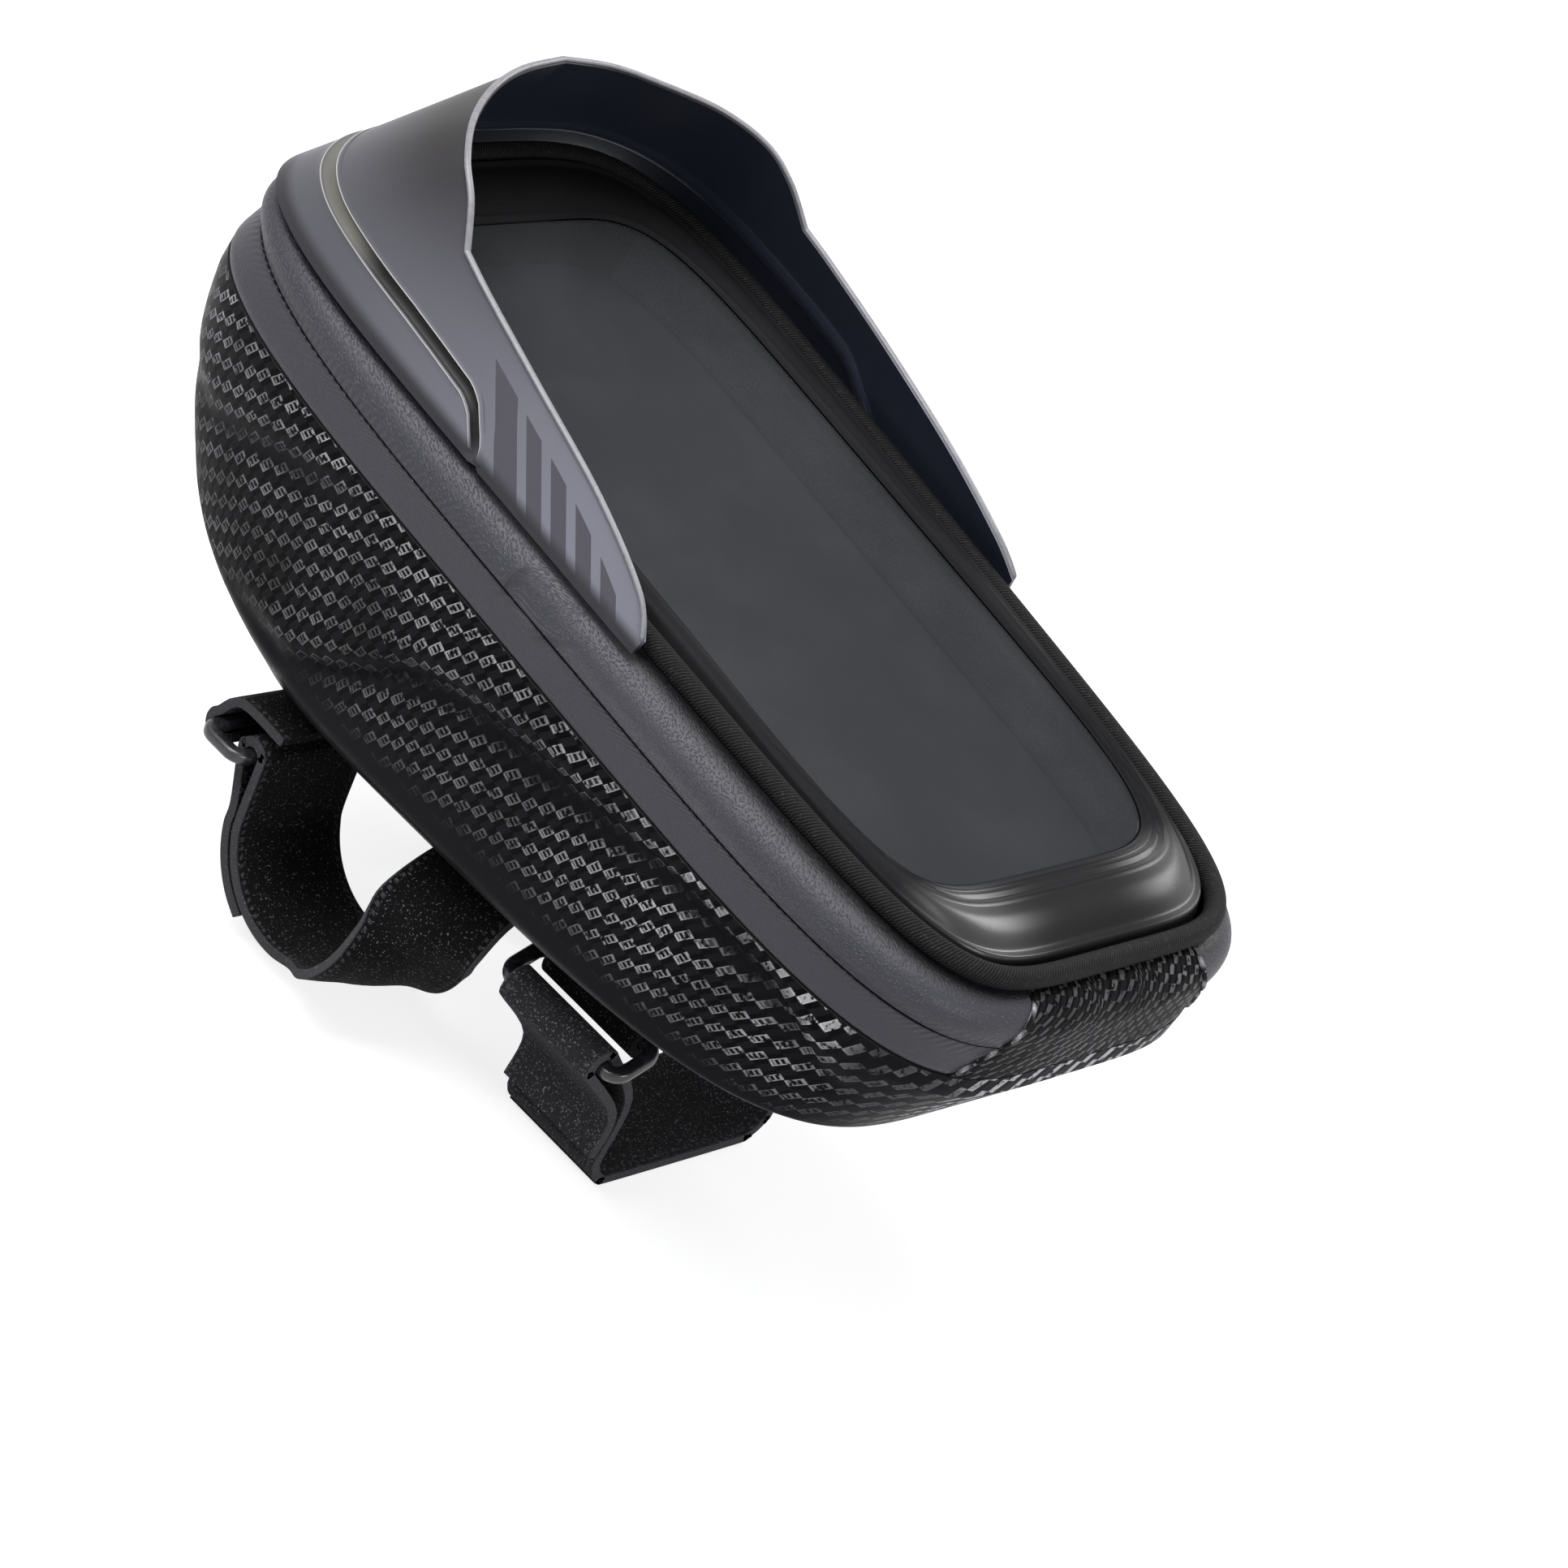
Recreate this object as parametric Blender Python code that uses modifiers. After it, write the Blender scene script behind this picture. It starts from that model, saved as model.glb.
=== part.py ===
"""Bike phone bag: a moulded hard-shell bag that straps on top of a handlebar and stem.

A zipped lid with a clear window, a sun visor and a phone pocket hinges at the rider's end.
Frame: +Y points forward, away from the rider, +Z up, +X to the rider's right.
The origin is the middle of the flat base, which rests on the stem.
The lid is drawn in its own plane, tilted by LID_TILT, with z = 0 at the piping's centre.
"""

import bisect
import math

import bmesh
import bpy
from mathutils import Matrix, Vector

MM = 0.001

# Clearance between pieces that touch
GAP = 0.3 * MM

# Lid plane: the middle of the piping loop, seen from the base's middle
LID_TILT = math.radians(9.0)
LID_BACK = 19.0 * MM
LID_HEIGHT = 67.4 * MM

# Piping loop: a rounded rectangle that widens towards the far end
RIM_LENGTH = 190.0 * MM
RIM_WIDTH = 90.0 * MM
RIM_TAPER = 8.0 * MM
RIM_CORNERS = (5.75, 5.1)
PIPING_RADIUS = 1.9 * MM

# Smooth band round the lid, split by the zip
SHOULDER_START = 1.2 * MM
BAND_THICKNESS = 1.8 * MM
BAND_FAR_PULL = 1.5 * MM
BAND_NEAR_PULL = 1.8 * MM
ZIP_CORNERS = (4.5, 3.7)
BAND_CORNERS = (4.5, 4.4)
ZIP_DROP = 9.6 * MM
ZIP_SLIT = 1.0 * MM
BAND_DROP = 17.0 * MM
BAND_LAND = 1.5 * MM
SHOULDER_RADIUS = ZIP_DROP - ZIP_SLIT / 2 - PIPING_RADIUS - GAP

# Zip: two tapes, two coils of teeth, two sliders with pulls
TAPE_THICKNESS = 0.8 * MM
TEETH_WIDTH = 1.4 * MM
TEETH_HEIGHT = 1.5 * MM
SLIDER_LENGTH = 9.0 * MM
SLIDER_HEIGHT = 6.4 * MM
SLIDER_PLATE = 1.4 * MM
SLIDER_SPACING = 11.0 * MM
BACK_CLEARANCE = 1.5 * MM
BAIL_RADIUS = 0.7 * MM
BAIL_REACH = 3.0 * MM
ARM_HEIGHT = 2.2 * BAIL_RADIUS
WEB_SHARE = 0.6
PULL_LENGTH = 21.0 * MM
PULL_WIDTH = 6.0 * MM
PULL_THICKNESS = 1.6 * MM
PULL_NECK = 0.4 * PULL_LENGTH
PULL_BLADE = 0.7 * PULL_LENGTH
PULL_DROP = 0.12 * PULL_LENGTH

# Hinge panel of bag fabric between the band's ends, at the rider's end
HINGE_HALF_TOP = 21.5 * MM
HINGE_HALF_BOTTOM = 31.5 * MM
HINGE_THICKNESS = 1.6 * MM
SEAM_GAP = 0.5 * MM
SWING_GAP = 1.5 * MM

# Window and its raised border
WINDOW_WIDTH = 73.0 * MM
WINDOW_LENGTH = 153.0 * MM
WINDOW_CORNERS = (6.0, 6.0)
WINDOW_HEIGHT = 0.9 * MM
FILM_THICKNESS = 0.6 * MM
BORDER_THICKNESS = 1.5 * MM
BORDER_CROWN = 2.2 * MM
CROWN_POWER = 0.8
BORDER_DIP = 0.7 * MM

# Phone pocket under the window
PHONE_ROOM = 1.5 * MM
POCKET_DEPTH = 10.5 * MM
POCKET_RIM = 3.5 * MM
POCKET_MOUTH = 62.0 * MM
POCKET_BACK = 1.6 * MM
TAB_WIDTH = 24.0 * MM
TAB_LENGTH = 30.0 * MM
TAB_THICKNESS = 1.6 * MM

# Shell: its flat base, and the knee where the side walls turn under
SHELL_WALL = 3.0 * MM
BASE_WIDTH = 72.0 * MM
BASE_FRONT = 50.0 * MM
BASE_REAR = 49.0 * MM
BASE_CORNERS = (4.5, 4.5)
KNEE_WIDTH = 97.0 * MM
KNEE_FRONT = 79.5 * MM
KNEE_REAR = 103.0 * MM
KNEE_CORNERS = (5.0, 4.3)
KNEE_SIDE_HEIGHT = 9.0 * MM
KNEE_FRONT_HEIGHT = 36.0 * MM
KNEE_REAR_HEIGHT = 14.0 * MM
RIM_LAND = 4.0 * MM
FAR_SWELL = 3.0 * MM
BASE_DISH = 0.3 * MM
BASE_PATCH = 15.0 * MM
CREASE_DEPTH = 1.6 * MM
CREASE_HALF_WIDTH = 3.2 * MM
CREASE_MARGIN = 1.6
TURN_SHARE = 0.12
TURN_SAG = 0.06

# Where the crease and the far end's swell start and stop: shares of the knee's outline, and lid-plane y
CREASE_SIDE_FADE = (0.5, 0.95)
CREASE_NEAR_FADE = (-92.0 * MM, -76.0 * MM)
CREASE_FAR_FADE = (30.0 * MM, 60.0 * MM)
SWELL_FADE = (0.0, 0.9)

# Moulded crease along the side wall: lid-plane y, and drop below the piping
CREASE_LINE = [(-84 * MM, 29 * MM), (-70 * MM, 22 * MM), (-50 * MM, 21.5 * MM), (-23 * MM, 27 * MM),
               (0.0, 32 * MM), (12 * MM, 37 * MM), (24 * MM, 49 * MM), (38 * MM, 60 * MM)]

# Visor: edge point in the lid plane, and how far round the rim its foot lies
VISOR_THICKNESS = 1.0 * MM
VISOR_STEP = 0.7 * MM
VISOR_STEP_HEIGHT = 5.0 * MM
VISOR_STEP_LIMIT = 0.8
VISOR_FOOT_DROP = 0.3 * MM
VISOR_STANDOFF = 1.5 * MM
VISOR_CORNERS = (5.75, 5.0)
VISOR_SIDE = [(48.3 * MM, -18.4 * MM, 1.6 * MM), (46.4 * MM, -12.2 * MM, 5.8 * MM),
              (45.3 * MM, 4.5 * MM, 10.8 * MM), (44.7 * MM, 25.6 * MM, 14.8 * MM),
              (43.7 * MM, 43.0 * MM, 17.7 * MM), (42.7 * MM, 52.0 * MM, 19.2 * MM)]
VISOR_ARCH = [(42.7 * MM, 52.0 * MM, 19.2 * MM), (40.3 * MM, 58.2 * MM, 24.5 * MM),
              (37.7 * MM, 64.9 * MM, 27.5 * MM), (31.2 * MM, 72.5 * MM, 29.0 * MM),
              (21.0 * MM, 79.6 * MM, 29.3 * MM), (11.2 * MM, 83.4 * MM, 30.1 * MM),
              (0.0, 85.1 * MM, 30.5 * MM)]

# Straps, and what they go round
STRAP_THICKNESS = 1.8 * MM
BAR_RADIUS = 15.9 * MM
BAR_Y = 8.0 * MM
BAR_DROP = 17.6 * MM
BAR_STRAP_WIDTH = 25.0 * MM
BAR_STRAP_X = 31.5 * MM
STEM_WIDTH = 43.0 * MM
STEM_HEIGHT = 37.0 * MM
STEM_STRAP_WIDTH = 23.0 * MM
STEM_STRAP_Y = -46.5 * MM
TWIST_SPREAD = 0.82
TWIST_STEPS = 5
TWIST_BULGE = 6.5 * MM
TWIST_FRONT_LIFT = 2.6 * MM
TWIST_FRONT_START = 147.0
TWIST_REAR_LIFT = 20.0 * MM
TWIST_REAR_SHIFT = 19.0 * MM
TWIST_REAR_START = 168.0
TWIST_REAR_POWER = 1.2
WRAP_START = 252.0
WRAP_END = 352.0
FLAP_END = -62.0
RING_WIRE = 1.4 * MM
RING_DEPTH = 9.0 * MM
RING_ROOM = 1.6 * MM
RING_DROP = 8.0 * MM
RING_CORNER = 2.4 * MM
RING_CLEARANCE = 0.4 * MM
TAB_SEAT = 14.0 * MM
TAB_FLAT_SHARE = 0.8
TAB_TURN = (60.0, -150.0)

# Stem strap: where it is sewn on, its bends, its fold, and its ring's place beside the stem
STEM_SEAM = (6.0 * MM, 13.0 * MM)
STEM_TOP_BEND = 3.0 * MM
STEM_BEND = 6.0 * MM
STEM_FOLD_SHARE = 0.57
STEM_FLAP_SHARE = 0.82
STEM_RING_ASIDE = 5.2 * MM
STEM_RING_DROP = 5.0 * MM
STEM_RING_TILT = math.radians(25.0)
STEM_TAB_SEAM = (-2.0 * MM, -10.0 * MM, -16.0 * MM)
STEM_TAB_TURN = (105.0, 300.0)

# Mesh fineness
COLUMNS = 56
BAND_COLUMNS = 52
SHOULDER_TURNS = (98, 75, 50, 25, 0)
HINGE_TOP_TURN = 85
TAPE_TURNS = (40, 20, 0)
HINGE_COLUMNS = 10
BORDER_LEVELS = (0.0, 0.12, 0.3, 0.5, 0.7, 0.88, 1.0)
POCKET_COLUMNS = 40

# Visor's rows: share of the step's height, share of the whole height, and whether it is stepped in
VISOR_LEVELS = ((0.0, 0.0, 0), (0.55, 0.0, 0), (0.92, 0.0, 0), (1.1, 0.0, 1), (0.5, 0.55, 1), (0.0, 1.0, 1))

COLLECTION = "bike_phone_bag"

# Colour, roughness and metallic value of each material
FINISHES = {
    "carbon_weave": ((0.022, 0.022, 0.025), 0.42, 0.0),
    "band_slate": ((0.055, 0.055, 0.065), 0.5, 0.0),
    "piping_black": ((0.02, 0.02, 0.022), 0.7, 0.0),
    "border_satin": ((0.012, 0.012, 0.013), 0.3, 0.0),
    "film_clear": ((0.8, 0.84, 0.86), 0.06, 0.0),
    "visor_grey": ((0.17, 0.17, 0.2), 0.35, 0.0),
    "zip_black": ((0.015, 0.015, 0.016), 0.6, 0.0),
    "slider_metal": ((0.05, 0.05, 0.055), 0.3, 0.9),
    "pull_rubber": ((0.02, 0.02, 0.022), 0.6, 0.0),
    "foam_black": ((0.02, 0.02, 0.02), 0.9, 0.0),
    "lining_grey": ((0.06, 0.06, 0.065), 0.85, 0.0),
    "strap_black": ((0.014, 0.014, 0.016), 0.85, 0.0),
    "ring_gloss": ((0.015, 0.015, 0.018), 0.15, 0.0),
}


def clear_scene():
    for thing in list(bpy.data.objects):
        bpy.data.objects.remove(thing, do_unlink=True)


def make_materials():
    made = {}
    for name, (colour, roughness, metallic) in FINISHES.items():
        material = bpy.data.materials.new(name)
        material.use_nodes = True
        shader = material.node_tree.nodes["Principled BSDF"]
        shader.inputs["Base Color"].default_value = (*colour, 1.0)
        shader.inputs["Roughness"].default_value = roughness
        shader.inputs["Metallic"].default_value = metallic
        made[name] = material
    return made


class Bag:
    """Holds the collection, the materials and the two frames that pieces hang from."""

    def __init__(self):
        self.collection = bpy.data.collections.new(COLLECTION)
        bpy.context.scene.collection.children.link(self.collection)
        self.materials = make_materials()
        self.lid_matrix = Matrix.Translation((0, -LID_BACK, LID_HEIGHT)) @ Matrix.Rotation(LID_TILT, 4, "X")
        self.lid_plane = self.empty("lid_plane", self.lid_matrix)
        self.hinge_point = Vector((0, outline_reach(band_ring(BAND_DROP)), -BAND_DROP - GAP / 2))
        self.lid_hinge = self.empty("lid_hinge", self.lid_matrix @ Matrix.Translation(self.hinge_point))

    def empty(self, name, matrix):
        thing = bpy.data.objects.new(name, None)
        self.collection.objects.link(thing)
        thing.matrix_world = matrix
        return thing

    def add(self, name, data, finish, holder=None):
        """Link a mesh or curve as a named sub-part, hung from the shell, the lid plane or the hinge."""
        piece = bpy.data.objects.new(name, data)
        self.collection.objects.link(piece)
        data.materials.append(self.materials[finish])
        if holder is not None:
            piece.parent = holder
        if holder is self.lid_hinge:
            piece.location = -self.hinge_point
        return piece


# Outlines in the lid plane


def signed_power(value, power):
    return math.copysign(abs(value) ** power, value)


def rounded(angle, corners):
    """Point of a unit rounded square: corner powers at the rider's end and at the far end."""
    power = 2.0 / (corners[1] if math.sin(angle) > 0 else corners[0])
    return signed_power(math.cos(angle), power), signed_power(math.sin(angle), power)


def ring(side, drop, corners=RIM_CORNERS, far_pull=0.0, near_pull=0.0):
    """A loop round the lid: how far it lies outside the piping, and how far below."""
    return {"side": side, "drop": drop, "corners": corners, "far": side - far_pull, "near": side - near_pull}


def ring_point(loop, angle):
    across, along = rounded(angle, loop["corners"])
    half_length = (RIM_LENGTH + loop["far"] + loop["near"]) / 2
    middle = (loop["far"] - loop["near"]) / 2
    half_width = (RIM_WIDTH + RIM_TAPER * along) / 2 + loop["side"]
    return Vector((half_width * across, middle + half_length * along, -loop["drop"]))


def outline_reach(loop):
    """The lowest y of a loop, at the middle of the rider's end."""
    return ring_point(loop, -math.pi / 2).y


def spacing_table(steps=1440):
    """How far round the rim each angle lies, counting length and turning alike."""
    loop = ring(0.0, 0.0)
    angles = [-math.pi / 2 + 2 * math.pi * index / steps for index in range(steps + 1)]
    points = [ring_point(loop, angle) for angle in angles]
    lengths = [0.0]
    turns = [0.0]
    for index in range(1, steps + 1):
        step = points[index] - points[index - 1]
        lengths.append(lengths[-1] + step.length)
        after = points[(index + 1) % steps] - points[index % steps]
        turns.append(turns[-1] + (step.angle(after) if step.length * after.length > 0 else 0.0))
    shares = [(one / lengths[-1] + other / turns[-1]) / 2 for one, other in zip(lengths, turns)]
    return angles, shares


ANGLES, SHARES = spacing_table()


def interpolate(inputs, outputs, value):
    """Straight-line interpolation in a rising table, held at its ends."""
    place = bisect.bisect_left(inputs, value)
    if place <= 0:
        return outputs[0]
    if place >= len(inputs):
        return outputs[-1]
    part = (value - inputs[place - 1]) / (inputs[place] - inputs[place - 1])
    return outputs[place - 1] + part * (outputs[place] - outputs[place - 1])


def angle_at(share):
    """Angle of the point that lies this share of the way round the rim."""
    return interpolate(SHARES, ANGLES, share)


def share_at(angle):
    return interpolate(ANGLES, SHARES, angle)


def share_beside(loop, half_width):
    """Share at which a loop leaves the rider's end at this distance from the middle."""
    near_half = (RIM_WIDTH - RIM_TAPER) / 2 + loop["side"]
    across = min(half_width / near_half, 1.0)
    return share_at(-math.acos(across ** (loop["corners"][0] / 2)))


def closed_row(loop, count=COLUMNS):
    return [ring_point(loop, angle_at(index / count)) for index in range(count)]


def open_row(loop, half_width, count=BAND_COLUMNS):
    """Points from one end of the hinge panel round the far end to the other."""
    start = share_beside(loop, half_width)
    span = 1.0 - 2 * start
    return [ring_point(loop, angle_at(start + span * index / count)) for index in range(count + 1)]


def band_outline(side, drop):
    """Loop on the band: squarer under the piping, rounder at the zip, and pulled in at both ends."""
    height = (ZIP_DROP - ZIP_SLIT / 2 - drop) / SHOULDER_RADIUS
    if height > 0:
        level = min(height, 1.0)
        corners = blend_corners(ZIP_CORNERS, RIM_CORNERS, level)
        fall = math.sqrt(1 - level * level)
    else:
        part = min((drop - ZIP_DROP) / (BAND_DROP - BAND_LAND - ZIP_DROP), 1.0)
        corners = blend_corners(ZIP_CORNERS, BAND_CORNERS, max(part, 0.0))
        fall = 1.0
    return ring(side, drop, corners, BAND_FAR_PULL * fall, BAND_NEAR_PULL * fall)


def blend_corners(start, end, part):
    return tuple(one + (other - one) * part for one, other in zip(start, end))


def shoulder_ring(turn, inset=0.0):
    """Loop on the band's rounded shoulder: turn 0 at the zip, 90 degrees under the piping."""
    radius = SHOULDER_RADIUS - inset
    return band_outline(SHOULDER_START + radius * math.cos(turn),
                        ZIP_DROP - ZIP_SLIT / 2 - radius * math.sin(turn))


def band_ring(drop, inset=0.0):
    """Loop on the upright part of the band, below the shoulder."""
    return band_outline(SHOULDER_START + SHOULDER_RADIUS - inset, drop)


# Mesh helpers


def mesh_from_rows(name, rows, closed):
    """Skin between rows of points; closed rows join their last point to their first."""
    form = bmesh.new()
    grid = [[form.verts.new(point) for point in row] for row in rows]
    count = len(rows[0])
    for upper, lower in zip(grid, grid[1:]):
        for index in range(count if closed else count - 1):
            after = (index + 1) % count
            form.faces.new((upper[index], upper[after], lower[after], lower[index]))
    bmesh.ops.recalc_face_normals(form, faces=form.faces)
    mesh = bpy.data.meshes.new(name)
    form.to_mesh(mesh)
    form.free()
    return mesh


def face_outward(mesh, inside):
    """Turn an open skin's faces away from a point inside it."""
    form = bmesh.new()
    form.from_mesh(mesh)
    form.faces.ensure_lookup_table()
    votes = sum((face.calc_center_median() - inside).dot(face.normal) * face.calc_area() for face in form.faces)
    if votes < 0:
        bmesh.ops.reverse_faces(form, faces=form.faces)
    form.to_mesh(mesh)
    form.free()


def thicken(piece, thickness, offset=-1.0):
    wall = piece.modifiers.new("wall", "SOLIDIFY")
    wall.thickness = thickness
    wall.offset = offset
    wall.use_even_offset = True
    return wall


def shade(mesh, degrees=40.0):
    mesh.shade_smooth()
    mesh.set_sharp_from_angle(angle=math.radians(degrees))


def skin_piece(bag, name, rows, thickness, finish, holder=None, closed=True, inside=None, offset=-1.0):
    mesh = mesh_from_rows(name, rows, closed)
    face_outward(mesh, Vector((0, 0, -LID_HEIGHT)) if inside is None else inside)
    shade(mesh)
    piece = bag.add(name, mesh, finish, holder)
    thicken(piece, thickness, offset)
    return piece


def smooth_path(points, steps):
    """Catmull-Rom curve through points of any length, with this many steps for each span."""
    path = []
    last = len(points) - 1
    for index in range(last):
        before = points[max(index - 1, 0)]
        start, end = points[index], points[index + 1]
        after = points[min(index + 2, last)]
        for step in range(steps):
            t = step / steps
            path.append(tuple(
                0.5 * (2 * b + (c - a) * t + (2 * a - 5 * b + 4 * c - d) * t * t
                       + (3 * b - a - 3 * c + d) * t ** 3)
                for a, b, c, d in zip(before, start, end, after)))
    path.append(tuple(points[-1]))
    return path


def curve_loop(name, points, radius, resolution=2):
    """Closed round cord through the points."""
    curve = bpy.data.curves.new(name, "CURVE")
    curve.dimensions = "3D"
    curve.bevel_depth = radius
    curve.bevel_resolution = resolution
    spline = curve.splines.new("POLY")
    spline.points.add(len(points) - 1)
    for point, place in zip(spline.points, points):
        point.co = (*place, 1.0)
    spline.use_cyclic_u = True
    return curve


def flat_plate(name, outline, thickness):
    """Flat plate with this outline, centred on its own plane."""
    curve = bpy.data.curves.new(name, "CURVE")
    curve.dimensions = "2D"
    curve.fill_mode = "BOTH"
    curve.extrude = thickness / 2
    spline = curve.splines.new("POLY")
    spline.points.add(len(outline) - 1)
    for point, place in zip(spline.points, outline):
        point.co = (place[0], place[1], 0.0, 1.0)
    spline.use_cyclic_u = True
    return curve


# Lid


def window_point(angle, grow=0.0):
    across, along = rounded(angle, WINDOW_CORNERS)
    return Vector(((WINDOW_WIDTH / 2 + grow) * across, (WINDOW_LENGTH / 2 + grow) * along, WINDOW_HEIGHT))


def border_row(inward):
    """Row of the border: inward is 0 beside the piping and 1 at the window."""
    outer = ring(-PIPING_RADIUS - GAP, BORDER_DIP)
    crown = BORDER_CROWN * math.sin(math.pi * inward) ** CROWN_POWER
    row = []
    for index in range(COLUMNS):
        angle = angle_at(index / COLUMNS)
        point = ring_point(outer, angle).lerp(window_point(angle), inward)
        row.append(point + Vector((0, 0, crown)))
    return row


def build_lid_top(bag):
    rows = [border_row(inward) for inward in BORDER_LEVELS]
    skin_piece(bag, "window_border", rows, BORDER_THICKNESS, "border_satin", bag.lid_hinge)

    outline = [window_point(angle_at(index / COLUMNS), -GAP) for index in range(COLUMNS)]
    film = bag.add("window_film", flat_plate("window_film", outline, FILM_THICKNESS), "film_clear", bag.lid_hinge)
    film.location.z += WINDOW_HEIGHT - FILM_THICKNESS / 2

    cord = curve_loop("piping", closed_row(ring(0.0, 0.0)), PIPING_RADIUS)
    bag.add("piping", cord, "piping_black", bag.lid_hinge)


def seam_half_width(drop):
    """Half width of the hinge panel at this drop below the piping."""
    part = (drop - PIPING_RADIUS) / (BAND_DROP - PIPING_RADIUS)
    return HINGE_HALF_TOP + (HINGE_HALF_BOTTOM - HINGE_HALF_TOP) * part


def build_bands(bag):
    upper_loops = [shoulder_ring(math.radians(turn)) for turn in SHOULDER_TURNS]
    rows = [open_row(loop, seam_half_width(loop["drop"]) + SEAM_GAP) for loop in upper_loops]
    skin_piece(bag, "lid_band", rows, BAND_THICKNESS, "band_slate", bag.lid_hinge, closed=False)

    top = ZIP_DROP + ZIP_SLIT / 2
    lower_loops = [band_ring(drop) for drop in (top, (top + BAND_DROP) / 2, BAND_DROP - BAND_LAND, BAND_DROP)]
    rows = [open_row(loop, seam_half_width(loop["drop"]) + SWING_GAP) for loop in lower_loops]
    skin_piece(bag, "shell_band", rows, BAND_THICKNESS, "band_slate", bag.lid_plane, closed=False)


def build_hinge_panel(bag):
    """Fabric between the band's ends; it swings with the lid about its bottom edge."""
    turns = (HINGE_TOP_TURN, *SHOULDER_TURNS[1:])
    loops = [shoulder_ring(math.radians(turn)) for turn in turns] + [band_ring(BAND_DROP)]
    rows = []
    for loop in loops:
        half = share_beside(loop, seam_half_width(loop["drop"]))
        shares = [half * (2 * index / HINGE_COLUMNS - 1) for index in range(HINGE_COLUMNS + 1)]
        rows.append([ring_point(loop, hinge_angle(share)) for share in shares])
    skin_piece(bag, "hinge_panel", rows, HINGE_THICKNESS, "carbon_weave", bag.lid_hinge, closed=False)


def hinge_angle(share):
    """Angle for a share counted from the rider's end, negative on the left."""
    if share >= 0:
        return angle_at(share)
    return -math.pi - angle_at(-share)


def build_zip(bag):
    inset = BAND_THICKNESS + GAP
    half_width = HINGE_HALF_BOTTOM + GAP
    lid_loops = [shoulder_ring(math.radians(turn), inset) for turn in TAPE_TURNS]
    rows = [open_row(loop, half_width) for loop in lid_loops]
    skin_piece(bag, "zip_tape_lid", rows, TAPE_THICKNESS, "zip_black", bag.lid_hinge, closed=False)

    top = ZIP_DROP + ZIP_SLIT / 2
    shell_loops = [band_ring(drop, inset) for drop in (top, BAND_DROP - GAP)]
    rows = [open_row(loop, half_width) for loop in shell_loops]
    skin_piece(bag, "zip_tape_shell", rows, TAPE_THICKNESS, "zip_black", bag.lid_plane, closed=False)

    inset += TAPE_THICKNESS + 2 * GAP
    high, low = ZIP_DROP - ZIP_SLIT / 2, ZIP_DROP + ZIP_SLIT / 2
    places = {"zip_teeth_lid": (high - TEETH_HEIGHT, high, bag.lid_hinge),
              "zip_teeth_shell": (low, low + TEETH_HEIGHT, bag.lid_plane)}
    for name, (upper, lower, holder) in places.items():
        rows = [open_row(band_ring(drop, inset), half_width) for drop in (upper, lower)]
        skin_piece(bag, name, rows, TEETH_WIDTH, "zip_black", holder, closed=False)


def box_part(form, size, centre):
    """Add a box to a bmesh."""
    made = bmesh.ops.create_cube(form, size=1.0)
    bmesh.ops.scale(form, vec=size, verts=made["verts"])
    bmesh.ops.translate(form, vec=centre, verts=made["verts"])


def union_mesh(bag, name, forms):
    """Join overlapping closed forms into one solid."""
    pieces = []
    for index, form in enumerate(forms):
        mesh = bpy.data.meshes.new(f"{name}_{index}")
        form.to_mesh(mesh)
        form.free()
        piece = bpy.data.objects.new(mesh.name, mesh)
        bag.collection.objects.link(piece)
        pieces.append(piece)
    first = pieces[0]
    for other in pieces[1:]:
        join = first.modifiers.new("join", "BOOLEAN")
        join.operation = "UNION"
        join.solver = "EXACT"
        join.object = other
    evaluated = first.evaluated_get(bpy.context.evaluated_depsgraph_get())
    mesh = bpy.data.meshes.new_from_object(evaluated)
    mesh.name = name
    for piece in pieces:
        bpy.data.objects.remove(piece, do_unlink=True)
    return mesh


def cylinder_form(radius, length, centre, segments=16):
    """Round bar along X."""
    form = bmesh.new()
    turn = Matrix.Translation(centre) @ Matrix.Rotation(math.pi / 2, 4, "Y")
    bmesh.ops.create_cone(form, cap_ends=True, segments=segments, radius1=radius, radius2=radius,
                          depth=length, matrix=turn)
    return form


def box_form(size, centre):
    form = bmesh.new()
    box_part(form, size, centre)
    return form


def slider_places():
    """Outer and inner faces that the slider runs between, at the far end's middle."""
    outer = ring_point(band_ring(ZIP_DROP), math.pi / 2).y
    inset = BAND_THICKNESS + TAPE_THICKNESS + 3 * GAP
    inner = ring_point(band_ring(ZIP_DROP, inset), math.pi / 2).y - TEETH_WIDTH
    return outer + GAP, inner - BACK_CLEARANCE


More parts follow.
